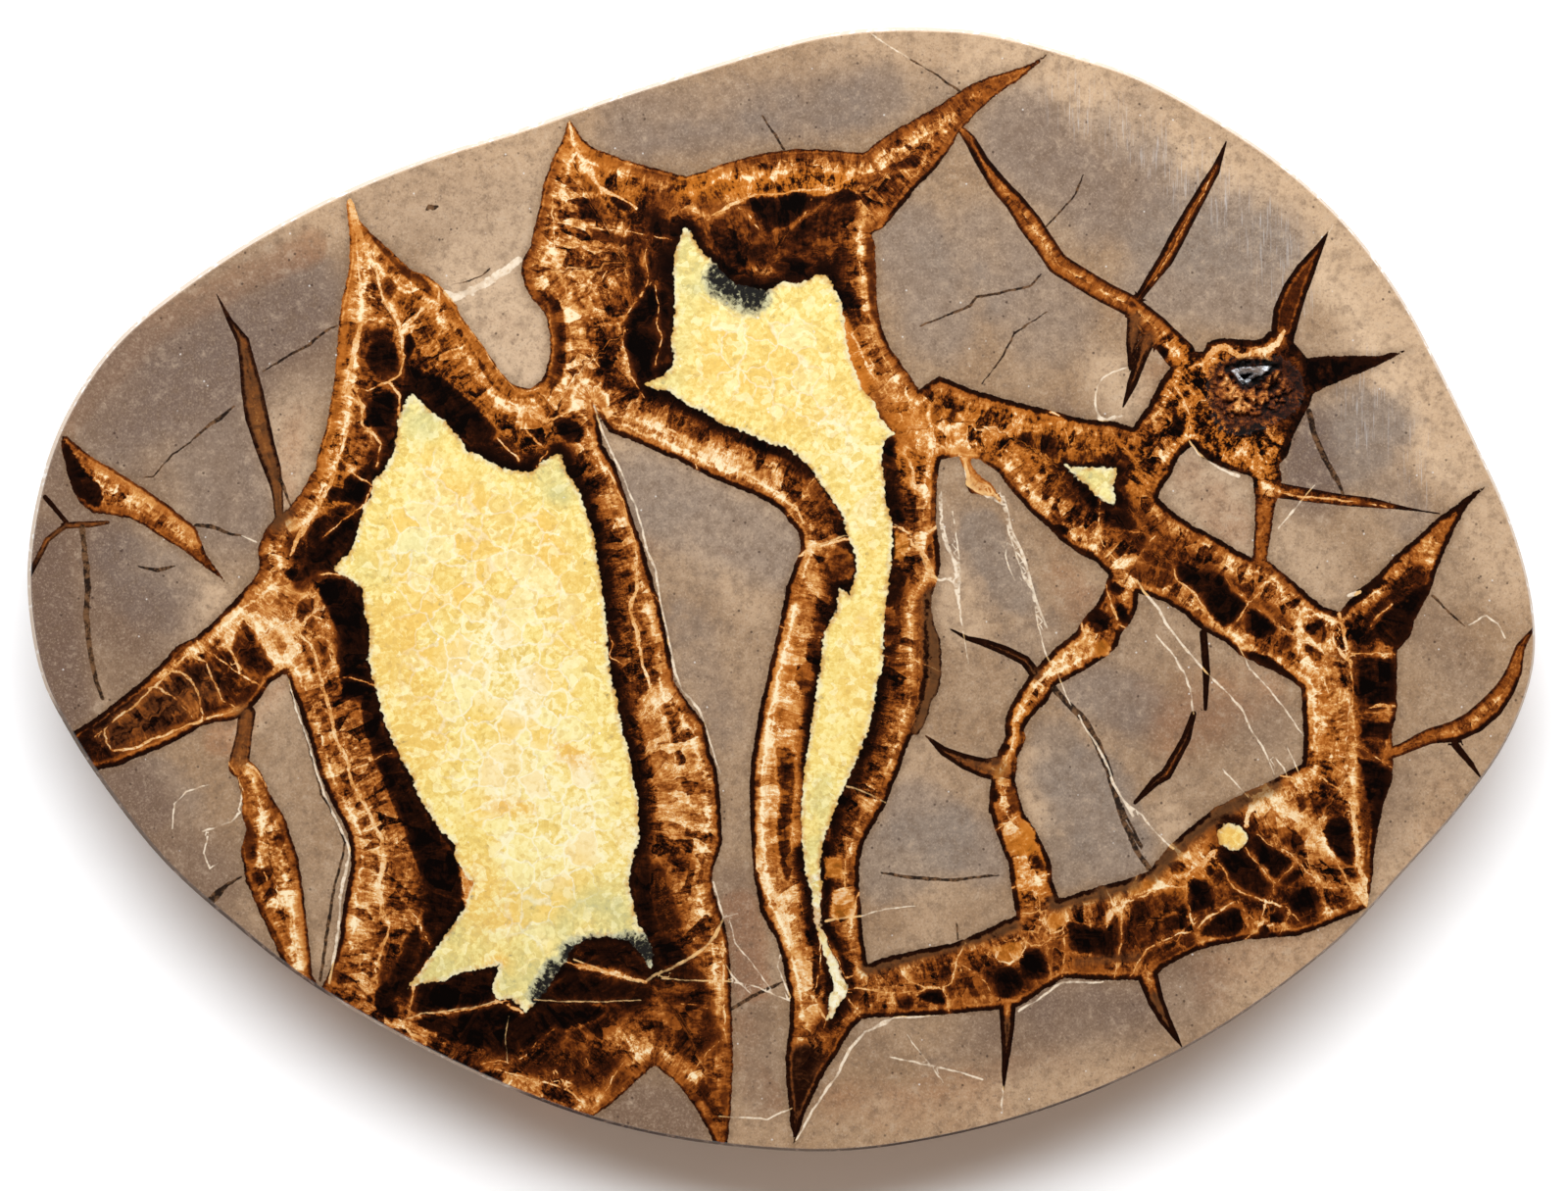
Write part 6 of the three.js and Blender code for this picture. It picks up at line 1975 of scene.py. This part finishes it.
def cells(where, size, feature="F1", output="Distance"):
    node = new_node("ShaderNodeTexVoronoi", feature=feature, voronoi_dimensions="3D")
    feed(node.inputs["Vector"], where)
    node.inputs["Scale"].default_value = 1 / size
    return Field(node.outputs[output])


def first_part(colour_field):
    node = new_node("ShaderNodeSeparateColor")
    feed(node.inputs[0], colour_field)
    return Field(node.outputs[0])


# How strongly the studio light falls on the middle of the slab. Tones are given as they look in it.
LIGHT_LEVEL = 1.43


def tint(red, green, blue):
    """A stone colour from how it looks under the studio light, in 0-255 screen values."""
    def linear(value):
        share = value / 255
        return share / 12.92 if share <= 0.04045 else ((share + 0.055) / 1.055) ** 2.4
    return (*(min(linear(v) / LIGHT_LEVEL, 0.9) for v in (red, green, blue)), 1)


def blend(share, first, second):
    """The first colour where share is 0, the second where it is 1."""
    node = new_node("ShaderNodeMix", data_type="RGBA", clamp_factor=True)
    feed(node.inputs[0], share)
    feed(node.inputs[6], first)
    feed(node.inputs[7], second)
    return Field(node.outputs[2])


def ramp(value, stops):
    """A colour ramp over (position, colour) stops."""
    node = new_node("ShaderNodeValToRGB")
    feed(node.inputs[0], value)
    elements = node.color_ramp.elements
    while len(elements) < len(stops):
        elements.new(0.5)
    for element, (position, colour) in zip(elements, stops):
        element.position = position
        element.color = colour
    return Field(node.outputs[0])


def profile(value, stops, span):
    """A number that follows (distance, level) stops, for distances from 0 to span."""
    grey = [(distance / span, (level, level, level, 1)) for distance, level in stops]
    return first_part(ramp(value / span, grey))


# --- The stone

VEIN_TONES = [
    (0.0, tint(8, 4, 3)), (0.14, tint(38, 15, 6)), (0.3, tint(84, 37, 12)), (0.46, tint(138, 72, 24)),
    (0.6, tint(184, 111, 48)), (0.76, tint(228, 166, 94)), (1.0, tint(255, 234, 190)),
]
# The pale crystal that lines the hole below its narrowest part, painted near white: partly painted light, so
# that the hole looks as light as the floor seen through it.
THROAT_WHITE = (0.88, 0.9, 0.92, 1)


def polished_stone():
    material = bpy.data.materials.new("polished_septarian_stone")
    material.use_nodes = True
    tree = Graph.tree = material.node_tree
    surface = tree.nodes["Principled BSDF"]
    coordinates = new_node("ShaderNodeTexCoord")
    here = stretched(Field(coordinates.outputs["Object"]), 1 / MM, 1 / MM, 1 / MM)

    vein_depth, calcite_depth, rim_gap = attribute("wall")
    fibre_x, fibre_y, rim_painted_shade = attribute("fibre")
    plain, soft, warm = attribute("more_zone")
    comb_x, comb_y, seam_reach = attribute("comb")
    strand_reach, crack_reach, hair_reach = attribute("reach")
    dark, light, web = attribute("vein_zone")
    core, pale_and_lit, dark_and_shaded = attribute("rock_zone")
    white, green, amber = attribute("calcite_zone")
    smoke, down, spot_depth = attribute("place")
    relief, on_face, scratch_sheen = attribute("relief")
    black_depth, brown_depth, gold_depth = attribute("cell")
    grit, cool, glow = attribute("extra_zone")

    sway = noise(here, 1.3, 3) - 0.5
    swing = noise(stretched(here, 1, 1, 3), 1.2, 3) - 0.5

    def stroke(name, reach, wander):
        """Distance from a stroke's wavering axis, kept true between strokes, and its half width."""
        x, y, half = attribute(name)
        if wander:
            x, y = x + sway * wander, y + swing * wander
        return higher(arithmetic("SQRT", x * x + y * y), reach - 0.25), half

    slow = noise(here, 9, 2)
    strength = noise(here, 2.2, 2)
    patch = noise(here, 2.6, 3)
    fleck = noise(here, 0.7, 3)
    wobble = (noise(here, 0.9, 3) - 0.5) * 0.4 + (noise(here, 0.28, 1) - 0.5) * 0.14

    # Rock
    mottle = noise(here, 1.1, 4, 0.6)
    grain = noise(here, 0.2, 3, 0.85)
    rock = blend(ease(slow + patch * 0.4, 0.55, 0.85), tint(174, 144, 114), tint(163, 131, 100))
    # Paler rock, partly painted light along the top right rim.
    rock = blend(pale_and_lit, rock, tint(222, 190, 155))
    cloud = (patch - 0.5) * 0.6 + (mottle - 0.5) * 0.45 + (slow - 0.5) * 0.5
    rock = blend(ease(core + cloud, 0.1, 0.95) * 0.9, rock, tint(154, 134, 117))
    rock = blend(ease(warm + cloud, 0.2, 0.9) * 0.8, rock, tint(176, 126, 88))
    rock = blend(ease(cool + cloud, 0.2, 0.8) * 0.6, rock, tint(142, 128, 116))
    rim_zone = ease(rim_gap + (slow - 0.5) * 5 + (patch - 0.5) * 2, 6.0, 1.5)
    rock = blend(rim_zone * 0.4, rock, tint(192, 157, 121))
    # Darker rock towards the left and bottom edges: partly darker stone, partly painted shade.
    rock = blend(dark_and_shaded * 0.85, rock, tint(104, 82, 73))
    halo = ease(vein_depth + (patch - 0.5) * 0.6, -0.9, 0.1)
    rock = blend(halo * 0.5, rock, tint(122, 94, 68))
    rock = blend(ease(mottle, 0.42, 0.72) * 0.5, rock, tint(120, 96, 76))
    rock = blend(ease(mottle, 0.46, 0.25) * 0.4, rock, tint(198, 174, 148))
    rock = blend(ease(grain, 0.5, 0.78) * 0.62, rock, tint(224, 198, 170))
    rock = blend(ease(grain, 0.48, 0.22) * 0.72, rock, tint(84, 64, 52))
    sand = noise(here, 0.36, 1, 0.5)
    rock = blend(ease(sand, 0.42, 0.2) * 0.4, rock, tint(104, 84, 72))
    speck = ease(cells(here, 1.2), 0.15, 0.07) * ease(noise(here, 5, 1), 0.42, 0.6)
    rock = blend(speck * 0.75, rock, tint(66, 48, 40))
    glint = ease(cells(stretched(here, 1.0, 1.0, 2.0), 2.1), 0.06, 0.03)
    rock = blend(glint * 0.7, rock, tint(235, 228, 220))
    # Bright streaks where scratches catch the light: painted reflection on real scratches.
    streak = noise(stretched(here, 1 / 0.14, 1 / 3.2, 1), 1, 2)
    rock = blend(ease(streak, 0.55, 0.75) * scratch_sheen * 0.55, rock, tint(214, 210, 208))

    # Veins: a dark rind on the wall, a golden band, then brown fibres that darken towards the calcite
    along = point(fibre_x + (fleck - 0.5) * 0.5, fibre_y + (patch - 0.5) * 0.7, vein_depth * 0.3)
    fibre_fine = noise(along, 0.26, 3, 0.65)
    fibre_wide = noise(point(fibre_x, fibre_y, vein_depth * 0.4), 0.8, 3)
    block_place = point(fibre_x + (fleck - 0.5) * 0.5, fibre_y + (patch - 0.5) * 0.6, vein_depth * 0.5)
    block = first_part(cells(block_place, 1.1, output="Color"))
    block_seam = cells(block_place, 1.1, "DISTANCE_TO_EDGE")
    strand_gap, strand_half = stroke("strand", strand_reach, 0)
    depth = higher(vein_depth + wobble, strand_half - strand_gap + wobble * 0.35)
    in_vein = ease(depth, -0.04, 0.04)
    reach_share = 1 - soft * 0.42
    shifted = depth * reach_share + (fibre_fine - 0.5) * 0.8 + (fibre_wide - 0.5) * 0.9
    level = profile(shifted, [
        (0.0, 0.3), (0.35, 0.4), (0.6, 0.46), (1.0, 0.5), (1.5, 0.48), (1.9, 0.38), (2.6, 0.32), (4.0, 0.3),
        (5.0, 0.3)], 5)
    past_band = ease(depth, 0.35, 1.0)
    crumb = noise(here, 0.42, 4, 0.75)
    texture = (fibre_fine - 0.5) * (ease(depth, 0.5, 1.2) * 0.4 + 0.55) + (fibre_wide - 0.5) * 0.7
    texture = texture + (crumb - 0.5) * 0.7
    texture = texture + (fleck - 0.5) * 0.6 + ((block - 0.5) * 0.5 + (patch - 0.5) * 0.7) * past_band
    texture = texture + (grain - 0.5) * 0.3
    banding = noise(point(fibre_x * 0.3, fibre_y * 0.3, depth * 3.5), 0.7, 2)
    texture = texture + (banding - 0.5) * 0.35 + ((crumb - 0.5) + (fleck - 0.5)) * grit * 0.9 - grit * 0.1
    calm = ease(depth, 0.2, 0.35) * ease(depth, 1.1, 0.9) * (1 - grit)
    texture = texture * (1 - calm * (0.3 + soft * 0.25))
    broken = (patch - 0.5) * 0.7 + (fleck - 0.5) * 0.7 + (fibre_fine - 0.5) * 0.5 + (block - 0.5) * 0.35
    pale = ease(light + broken * 0.7, 0.25, 0.8)
    deep = ease(dark * ease(depth, 0.15, 0.9) * 0.85 + broken * 0.6, 0.3, 0.85)
    burn = ease(calcite_depth + (fibre_wide - 0.5) * 1.4 + (fleck - 0.5) * 0.7, -2.0, -0.25)
    burn = burn * (1 - light * 0.7)
    level = level + pale * (0.64 - level) * 0.9
    tone = level + texture * (0.94 - pale * 0.3)
    tone = tone + ease(deep, 0.02, 0.25) * ease(deep, 0.8, 0.3) * 0.08
    crest_place = depth * reach_share - 1.2
    crest_gap = arithmetic("ABSOLUTE", crest_place - (fibre_wide - 0.5) * 1.1 - (patch - 0.5) * 0.7)
    crest = ease(crest_gap, 0.24, 0.03) * ease(strength + light * 0.2 + soft * 0.15, 0.46, 0.68)
    tone = tone + crest * (1 - dark * 0.6) * 0.24
    lip = ease(arithmetic("ABSOLUTE", depth - 0.3 - (fleck - 0.5) * 0.2), 0.15, 0.03) * soft
    tone = tone + lip * ease(slow, 0.4, 0.6) * 0.16
    tone = tone + (0.34 + (tone - 0.4) * 0.75 - tone) * plain
    tone = tone * (1 - deep * 0.74) * (1 - burn * 0.88)
    bead = (noise(along, 0.5, 2) - 0.5) * 0.9 + (fleck - 0.5) * 0.4
    rind_reach = (1 - soft * 0.75) * (0.46 + bead * 0.5 + grit * 0.3)
    rind = ease(depth - rind_reach, 0.18, -0.1)
    tone = tone * (1 - rind * (0.84 - soft * 0.5 - grain * 0.2))

    # Cream threads, webs and seams between crystals
    thread_place = point(fibre_x + (fleck - 0.5) * 1.3, fibre_y + (patch - 0.5) * 2.2, depth * 0.4)
    thread_wave = noise(thread_place, 0.5, 2, 0.6)
    threads = ease(arithmetic("ABSOLUTE", thread_wave - 0.5), 0.04, 0.0) * ease(strength, 0.35, 0.65)
    tone = tone + threads * past_band * (1 - plain) * (0.24 - deep * 0.08 - burn * 0.14)
    warp = point(noise(here, 1.8, 3), noise(stretched(here, 1, 1, 1.7), 1.6, 3), 0.0)
    bent_node = new_node("ShaderNodeVectorMath", operation="MULTIPLY_ADD")
    feed(bent_node.inputs[0], warp)
    bent_node.inputs[1].default_value = (2.2, 2.2, 0)
    feed(bent_node.inputs[2], here)
    bent = Field(bent_node.outputs[0])
    big_web = cells(bent, 3.2, "DISTANCE_TO_EDGE")
    small_web = cells(bent, 1.2, "DISTANCE_TO_EDGE")
    web_line = ease(big_web, 0.05, 0.01) * ease(strength, 0.45, 0.7)
    fine_line = ease(small_web, 0.06, 0.0) * ease(strength, 0.55, 0.3)
    seam_line = ease(block_seam, 0.07, 0.0) * ease(fleck, 0.45, 0.65)
    web_share = (web * 0.8 + 0.2) * past_band * (1 - burn * 0.7) * (1 - plain)
    tone = tone + web_share * (web_line * 0.3 + fine_line * 0.2) + seam_line * past_band * 0.08

    def fill(cell, reach, level_inside, contrast):
        """The tone with a kind of cell laid over it, and a lighter skin around the cells."""
        rough = cell + wobble * 1.5 + (crumb - 0.5) * 0.8 + (patch - 0.5) * 0.5
        within = ease(rough, -0.08, 0.2)
        skin = ease(rough, -reach, -0.1) * (1 - within)
        murk = level_inside + ease(rough, 0.8, 0.0) * 0.08 + texture * contrast
        return tone * (1 - within) + within * murk + skin * 0.06

    tone = fill(brown_depth, 0.4, 0.23, 0.55)
    tone = fill(black_depth, 0.5, 0.04, 0.34)
    tone = fill(gold_depth, 0.2, 0.54, 0.8)
    seam_gap, seam_half = stroke("seam", seam_reach, 0.6)
    bold = ease(seam_half, 0.16, 0.32) * 0.7 + 1
    seam_edge = seam_gap + wobble * 0.5 + (crumb - 0.5) * 0.25 - seam_half * (0.2 + fleck * 0.8) * bold
    seam = ease(seam_edge, 0.08, -0.06) * (ease(crumb, 0.3, 0.5) * 0.4 + 0.6)
    seam_tone = 0.82 + (grain - 0.5) * 0.5 + (strength - 0.5) * 0.7
    tone = higher(tone + ease(seam_edge, 0.6, 0.0) * 0.14, seam * seam_tone)
    vein = ramp(tone, VEIN_TONES)
    orange = ease(noise(here, 1.7, 2), 0.45, 0.65) * ease(tone, 0.2, 0.4) * ease(tone, 0.9, 0.6)
    vein = blend(orange * 0.3, vein, tint(186, 102, 34))
    vein = blend(glow * ease(tone, 0.25, 0.45) * ease(tone, 0.95, 0.7) * 0.6, vein, tint(214, 124, 36))
    vein = blend(ease(gold_depth, 0.0, 0.3) * 0.4, vein, tint(206, 124, 36))
    vein = blend(plain * ease(tone, 0.1, 0.3) * 0.6, vein, tint(96, 66, 40))

    # Calcite: a comb of small crystals on the walls, coarser facets in the middle
    comb_fine = noise(point(comb_x, comb_y, calcite_depth * 0.25), 0.3, 2)
    teeth = (fleck - 0.5) * 0.35 + (0.4 - cells(here, 0.45)) * 0.35
    inside_calcite = calcite_depth + teeth
    in_calcite = ease(inside_calcite, -0.08, 0.06)
    granule = noise(here, 0.5, 3, 0.7)
    facet = first_part(cells(bent, 2.6, output="Color"))
    facet_seam = cells(bent, 2.6, "DISTANCE_TO_EDGE")
    small_facet = first_part(cells(bent, 0.8, output="Color"))
    tiny_facet = first_part(cells(here, 0.4, output="Color"))
    comb_zone = ease(inside_calcite, 2.2, 0.4)
    sugar = granule * 0.55 + small_facet * 0.25 + tiny_facet * 0.2 + (comb_fine - 0.5) * comb_zone * 0.8
    calcite = blend(ease(sugar, 0.3, 0.7), tint(240, 206, 108), tint(255, 238, 160))
    calcite = blend(ease(patch, 0.5, 0.75) * 0.3, calcite, tint(250, 208, 108))
    calcite = blend(ease(granule, 0.42, 0.25) * 0.4, calcite, tint(222, 178, 88))
    middle = ease(calcite_depth + (patch - 0.5) * 3, 1.5, 5.0)
    calcite = blend(ease(facet, 0.55, 0.9) * middle * 0.6, calcite, tint(250, 206, 104))
    calcite = blend(ease(facet, 0.4, 0.1) * middle * 0.55, calcite, tint(255, 247, 190))
    calcite = blend(ease(facet_seam, 0.06, 0.01) * middle * 0.6, calcite, tint(255, 250, 220))
    calcite = blend(ease(small_facet, 0.75, 0.95) * 0.4, calcite, tint(255, 246, 200))
    calcite = blend(ease(tiny_facet, 0.2, 0.05) * 0.3, calcite, tint(222, 178, 88))
    calcite = blend(white * ease(sugar + facet * 0.6, 0.55, 1.15) * 0.7, calcite, tint(255, 250, 222))
    calcite = blend(green * ease(sugar + patch, 1.4, 0.6) * 0.8, calcite, tint(196, 196, 140))
    calcite = blend(amber * ease(sugar, 0.75, 0.4) * 0.8, calcite, tint(240, 184, 84))
    edge_share = ease(strength + (fleck - 0.5) * 0.5, 0.42, 0.58)
    edge_tone = blend(edge_share, tint(196, 138, 66), tint(238, 228, 190))
    calcite = blend(ease(inside_calcite + (crumb - 0.5) * 0.8, 0.6, 0.0) * 0.75, calcite, edge_tone)
    spark = ease(cells(here, 1.3), 0.13, 0.06) * ease(strength, 0.5, 0.62)
    calcite = blend(spark * 0.8, calcite, tint(255, 255, 246))
    calcite = blend(ease(smoke - (sugar - 0.5) * 0.6, 0.02, 0.4) * 0.65, calcite, tint(180, 182, 156))
    calcite = blend(ease(smoke - (sugar - 0.5) * 1.4 - (crumb - 0.5), 0.3, 0.9), calcite, tint(34, 32, 30))

    # Crystals in the pocket
    # Crystal tops are painted lighter and the hollows between them darker: painted light and shade.
    druse_tone = ease(relief + (granule - 0.5) * 0.8, 0.0, 1.3) * 0.5 + 0.3 + (crumb - 0.5) * 1.2
    # gloom darkens close round the pale crystals at the hole, painted shade at the hole's edge, and where
    # the vein is dark.
    gloom = ease(spot_depth, -0.9, -0.3) * 0.5 + dark * 0.2
    druse_colour = ramp(druse_tone + (patch - 0.5) * 0.4 - gloom, VEIN_TONES)
    ledge = ease(spot_depth + (crumb - 0.5) * 0.2, -0.06, 0.08)
    ledge_tone = blend(ease(granule, 0.35, 0.6), tint(186, 190, 196), tint(250, 252, 255))
    druse_colour = blend(ledge, druse_colour, ledge_tone)
    # Below the pale crystals the throat is near white, partly painted light for the floor seen through the
    # hole.
    druse_colour = blend(ease(relief, -0.2, -1.0), druse_colour, THROAT_WHITE)

    colour = blend(in_vein, rock, vein)
    colour = blend(in_calcite, colour, calcite)
    colour = blend(ease(down + (crumb - 0.5) * 0.15, 0.02, 0.2), colour, druse_colour)

    # Late cracks and the hairlines that heal them
    crack_gap, crack_half = stroke("crack", crack_reach, 0.35)
    crack = ease(crack_gap + wobble * 0.3 - crack_half, 0.05, -0.03)
    crack_fill = blend(ease(fleck + (grain - 0.5) * 0.8, 0.4, 0.7), tint(26, 15, 10), tint(116, 82, 54))
    colour = blend(crack * 0.95, colour, crack_fill)
    hair_gap, hair_half = stroke("hair", hair_reach, 0.35)
    worn = ease(noise(here, 1.3, 3), 0.35, 0.6)
    hair_edge = hair_gap + wobble * 0.2 - hair_half * (0.42 + worn * 0.48)
    hair = ease(hair_edge, 0.06, -0.03) * (0.4 + worn * 0.6)
    hair_pale = blend(in_vein, tint(250, 232, 206), tint(244, 196, 130))
    colour = blend(hair * 0.92, colour, blend(ease(granule, 0.2, 0.55), tint(206, 168, 124), hair_pale))

    # Sawn sides and back: matt, dusty and paler in the saw marks, with painted shade on the chamfer along
    # the bottom edges
    sawn = ease(on_face, 0.6, 0.4)
    colour = blend(sawn * 0.35, colour, tint(158, 140, 124))
    _, _, lift = parts_of(here)
    bruise = ease(lift + (fleck - 0.5) * 1.4 + (slow - 0.5) * 2, THICKNESS / MM - 2.2, THICKNESS / MM - 1.0)
    chip = ease(fleck + (strength - 0.5) * 0.6, 0.55, 0.7)
    rim_tone = blend(chip, blend(grain, tint(206, 188, 170), tint(230, 214, 196)), tint(246, 242, 236))
    # The chamfer is painted dark along the bottom edges: painted shade where it faces away from the light.
    rim_tone = blend(rim_painted_shade, rim_tone, blend(chip, tint(66, 48, 40), tint(150, 124, 104)))
    colour = blend(sawn * bruise * 0.9, colour, rim_tone)
    feed(surface.inputs["Base Color"], colour)
    pocket = ease(down, 0.0, 0.02)
    shine = 0.15 + grain * 0.06 + sawn * 0.5 + in_calcite * 0.08 + pocket * 0.85
    feed(surface.inputs["Roughness"], shine)
    surface.inputs["Specular IOR Level"].default_value = 0.2
    bump = new_node("ShaderNodeBump")
    bump.inputs["Strength"].default_value = 0.25
    bump.inputs["Distance"].default_value = 0.05 * MM
    feed(bump.inputs["Height"], granule * (in_calcite + pocket * 3) + grain * 0.3 + sawn * grain * 3)
    tree.links.new(bump.outputs[0], surface.inputs["Normal"])
    return material


# --- Building the slab

SHARP_ANGLE = math.radians(32)


def build_slab():
    vertices, faces, surfaces = slab_mesh()
    mesh = bpy.data.meshes.new("polished_slab")
    mesh.from_pydata(vertices, [], faces)
    mesh.validate()
    for name, values in fields(vertices).items():
        layer = mesh.attributes.new(name, "FLOAT_VECTOR", "POINT")
        layer.data.foreach_set("vector", np.ascontiguousarray(values, np.float32).ravel())
    mesh.polygons.foreach_set("use_smooth", np.ones(len(faces), bool))
    mesh.set_sharp_from_angle(angle=SHARP_ANGLE)
    slab = bpy.data.objects.new("polished_slab", mesh)
    bpy.context.collection.objects.link(slab)
    lay_out(mesh, vertices, faces, surfaces)
    return slab


# The bake picture's layout: the face above, the back and four strips of side wall below it.
FACE_LOW, FACE_HIGH = (0.003, 0.256), (0.997, 0.997)
BACK_LOW, BACK_HIGH = (0.003, 0.003), (0.325, 0.244)
STRIP_LOW, STRIP_HIGH = (0.34, 0.003), (0.997, 0.244)
STRIP_COUNT = 4


def lay_out(mesh, vertices, faces, surfaces):
    """Writes the OFBake map: flat views of the face and back, and the side wall unrolled."""
    low, high = vertices[:, :2].min(0), vertices[:, :2].max(0)
    share = (vertices[:, :2] - low) / (high - low)
    starts = np.concatenate(([0], np.cumsum(surfaces)))
    corners = faces.reshape(-1)
    uv = np.zeros((len(corners), 2))
    front, back = slice(0, 3 * starts[1]), slice(3 * starts[-2], 3 * starts[-1])
    uv[front] = FACE_LOW + share[corners[front]] * np.subtract(FACE_HIGH, FACE_LOW)
    uv[back] = BACK_LOW + (share[corners[back]] * (-1, 1) + (1, 0)) * np.subtract(BACK_HIGH, BACK_LOW)
    walls = len(surfaces) - 3
    per_strip = RIM_COUNT // STRIP_COUNT
    strip_height = (STRIP_HIGH[1] - STRIP_LOW[1]) / STRIP_COUNT
    gutter = 0.06
    for wall in range(walls):
        first = starts[1 + wall]
        for half in range(2):
            for i in range(RIM_COUNT):
                face = first + half * RIM_COUNT + i
                strip, along = divmod(i, per_strip)
                steps = ((0, 0), (0, 1), (1, 1)) if half == 0 else ((0, 0), (1, 1), (1, 0))
                for corner, (ahead, below) in enumerate(steps):
                    u = STRIP_LOW[0] + (along + ahead) / per_strip * (STRIP_HIGH[0] - STRIP_LOW[0])
                    fall = gutter + (1 - 2 * gutter) * (wall + below) / walls
                    uv[3 * face + corner] = (u, STRIP_LOW[1] + (strip + fall) * strip_height)
    first = starts[-3]
    for half in range(2):
        for i in range(THROAT_COUNT):
            face = first + half * THROAT_COUNT + i
            steps = ((1, 1), (0, 1), (0, 0)) if half == 0 else ((1, 0), (1, 1), (0, 0))
            for corner, (ahead, below) in enumerate(steps):
                uv[3 * face + corner] = (0.003 + (i + ahead) / THROAT_COUNT * 0.05, 0.2 + below * 0.04)
    layer = mesh.uv_layers.new(name="OFBake")
    layer.data.foreach_set("uv", uv.ravel())


slab = build_slab()
slab.data.materials.append(polished_stone())
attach(slab, "root")
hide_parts(SLAB)


# --- Floor, light and camera

FLOOR_SIZE = 4.0
KEY_DISTANCE = 0.62
KEY_HEIGHT_ANGLE = math.radians(46)
KEY_WIDTH = 1.1
KEY_DEPTH = 0.36
KEY_POWER = 9.9
AMBIENT = 0.55
HORIZON = 1.1
ZENITH = 0.03

bpy.ops.mesh.primitive_plane_add(size=FLOOR_SIZE)
floor = bpy.context.active_object
floor.name = "floor"
paint = bpy.data.materials.new("white_paper")
paint.use_nodes = True
paper = paint.node_tree.nodes["Principled BSDF"]
paper.inputs["Base Color"].default_value = (0.95, 0.95, 0.95, 1)
paper.inputs["Roughness"].default_value = 0.9
floor.data.materials.append(paint)

world = bpy.data.worlds.new("soft_room")
world.use_nodes = True
# The room is dark straight above the slab, so that its polish doesn't veil the dark stone.
Graph.tree = world.node_tree
sky = new_node("ShaderNodeTexCoord")
upward = new_node("ShaderNodeSeparateXYZ")
Graph.tree.links.new(sky.outputs["Generated"], upward.inputs[0])
room = world.node_tree.nodes["Background"]
room.inputs["Color"].default_value = (1, 0.77, 0.62, 1)
steepness = Field(upward.outputs["Z"])
feed(room.inputs["Strength"], ease(steepness, 0.96, 0.64) * (AMBIENT - ZENITH) + ZENITH
     + ease(steepness, 0.25, 0.05) * (HORIZON - AMBIENT))
bpy.context.scene.world = world

key_data = bpy.data.lights.new("key", "AREA")
key_data.shape = "RECTANGLE"
key_data.size = KEY_WIDTH
key_data.size_y = KEY_DEPTH
key_data.energy = KEY_POWER
key_data.color = (0.92, 0.99, 1.05)
key = bpy.data.objects.new("key", key_data)
key.location = (0, KEY_DISTANCE * math.cos(KEY_HEIGHT_ANGLE), KEY_DISTANCE * math.sin(KEY_HEIGHT_ANGLE))
key.rotation_euler = key.location.to_track_quat("Z", "Y").to_euler()
bpy.context.collection.objects.link(key)

PICTURE_CENTRE = (800, 607.5)
PICTURE_WIDTH = 160 * MM
SENSOR_WIDTH = 36
LENS = 100
camera_data = bpy.data.cameras.new("camera")
camera_data.sensor_width = SENSOR_WIDTH
camera_data.lens = LENS
camera = bpy.data.objects.new("camera", camera_data)
centre_x, centre_y = place([PICTURE_CENTRE])[0]
camera.location = (centre_x, centre_y, THICKNESS + PICTURE_WIDTH * LENS / SENSOR_WIDTH)
bpy.context.collection.objects.link(camera)
bpy.context.scene.camera = camera
bpy.context.scene.view_settings.view_transform = "Standard"
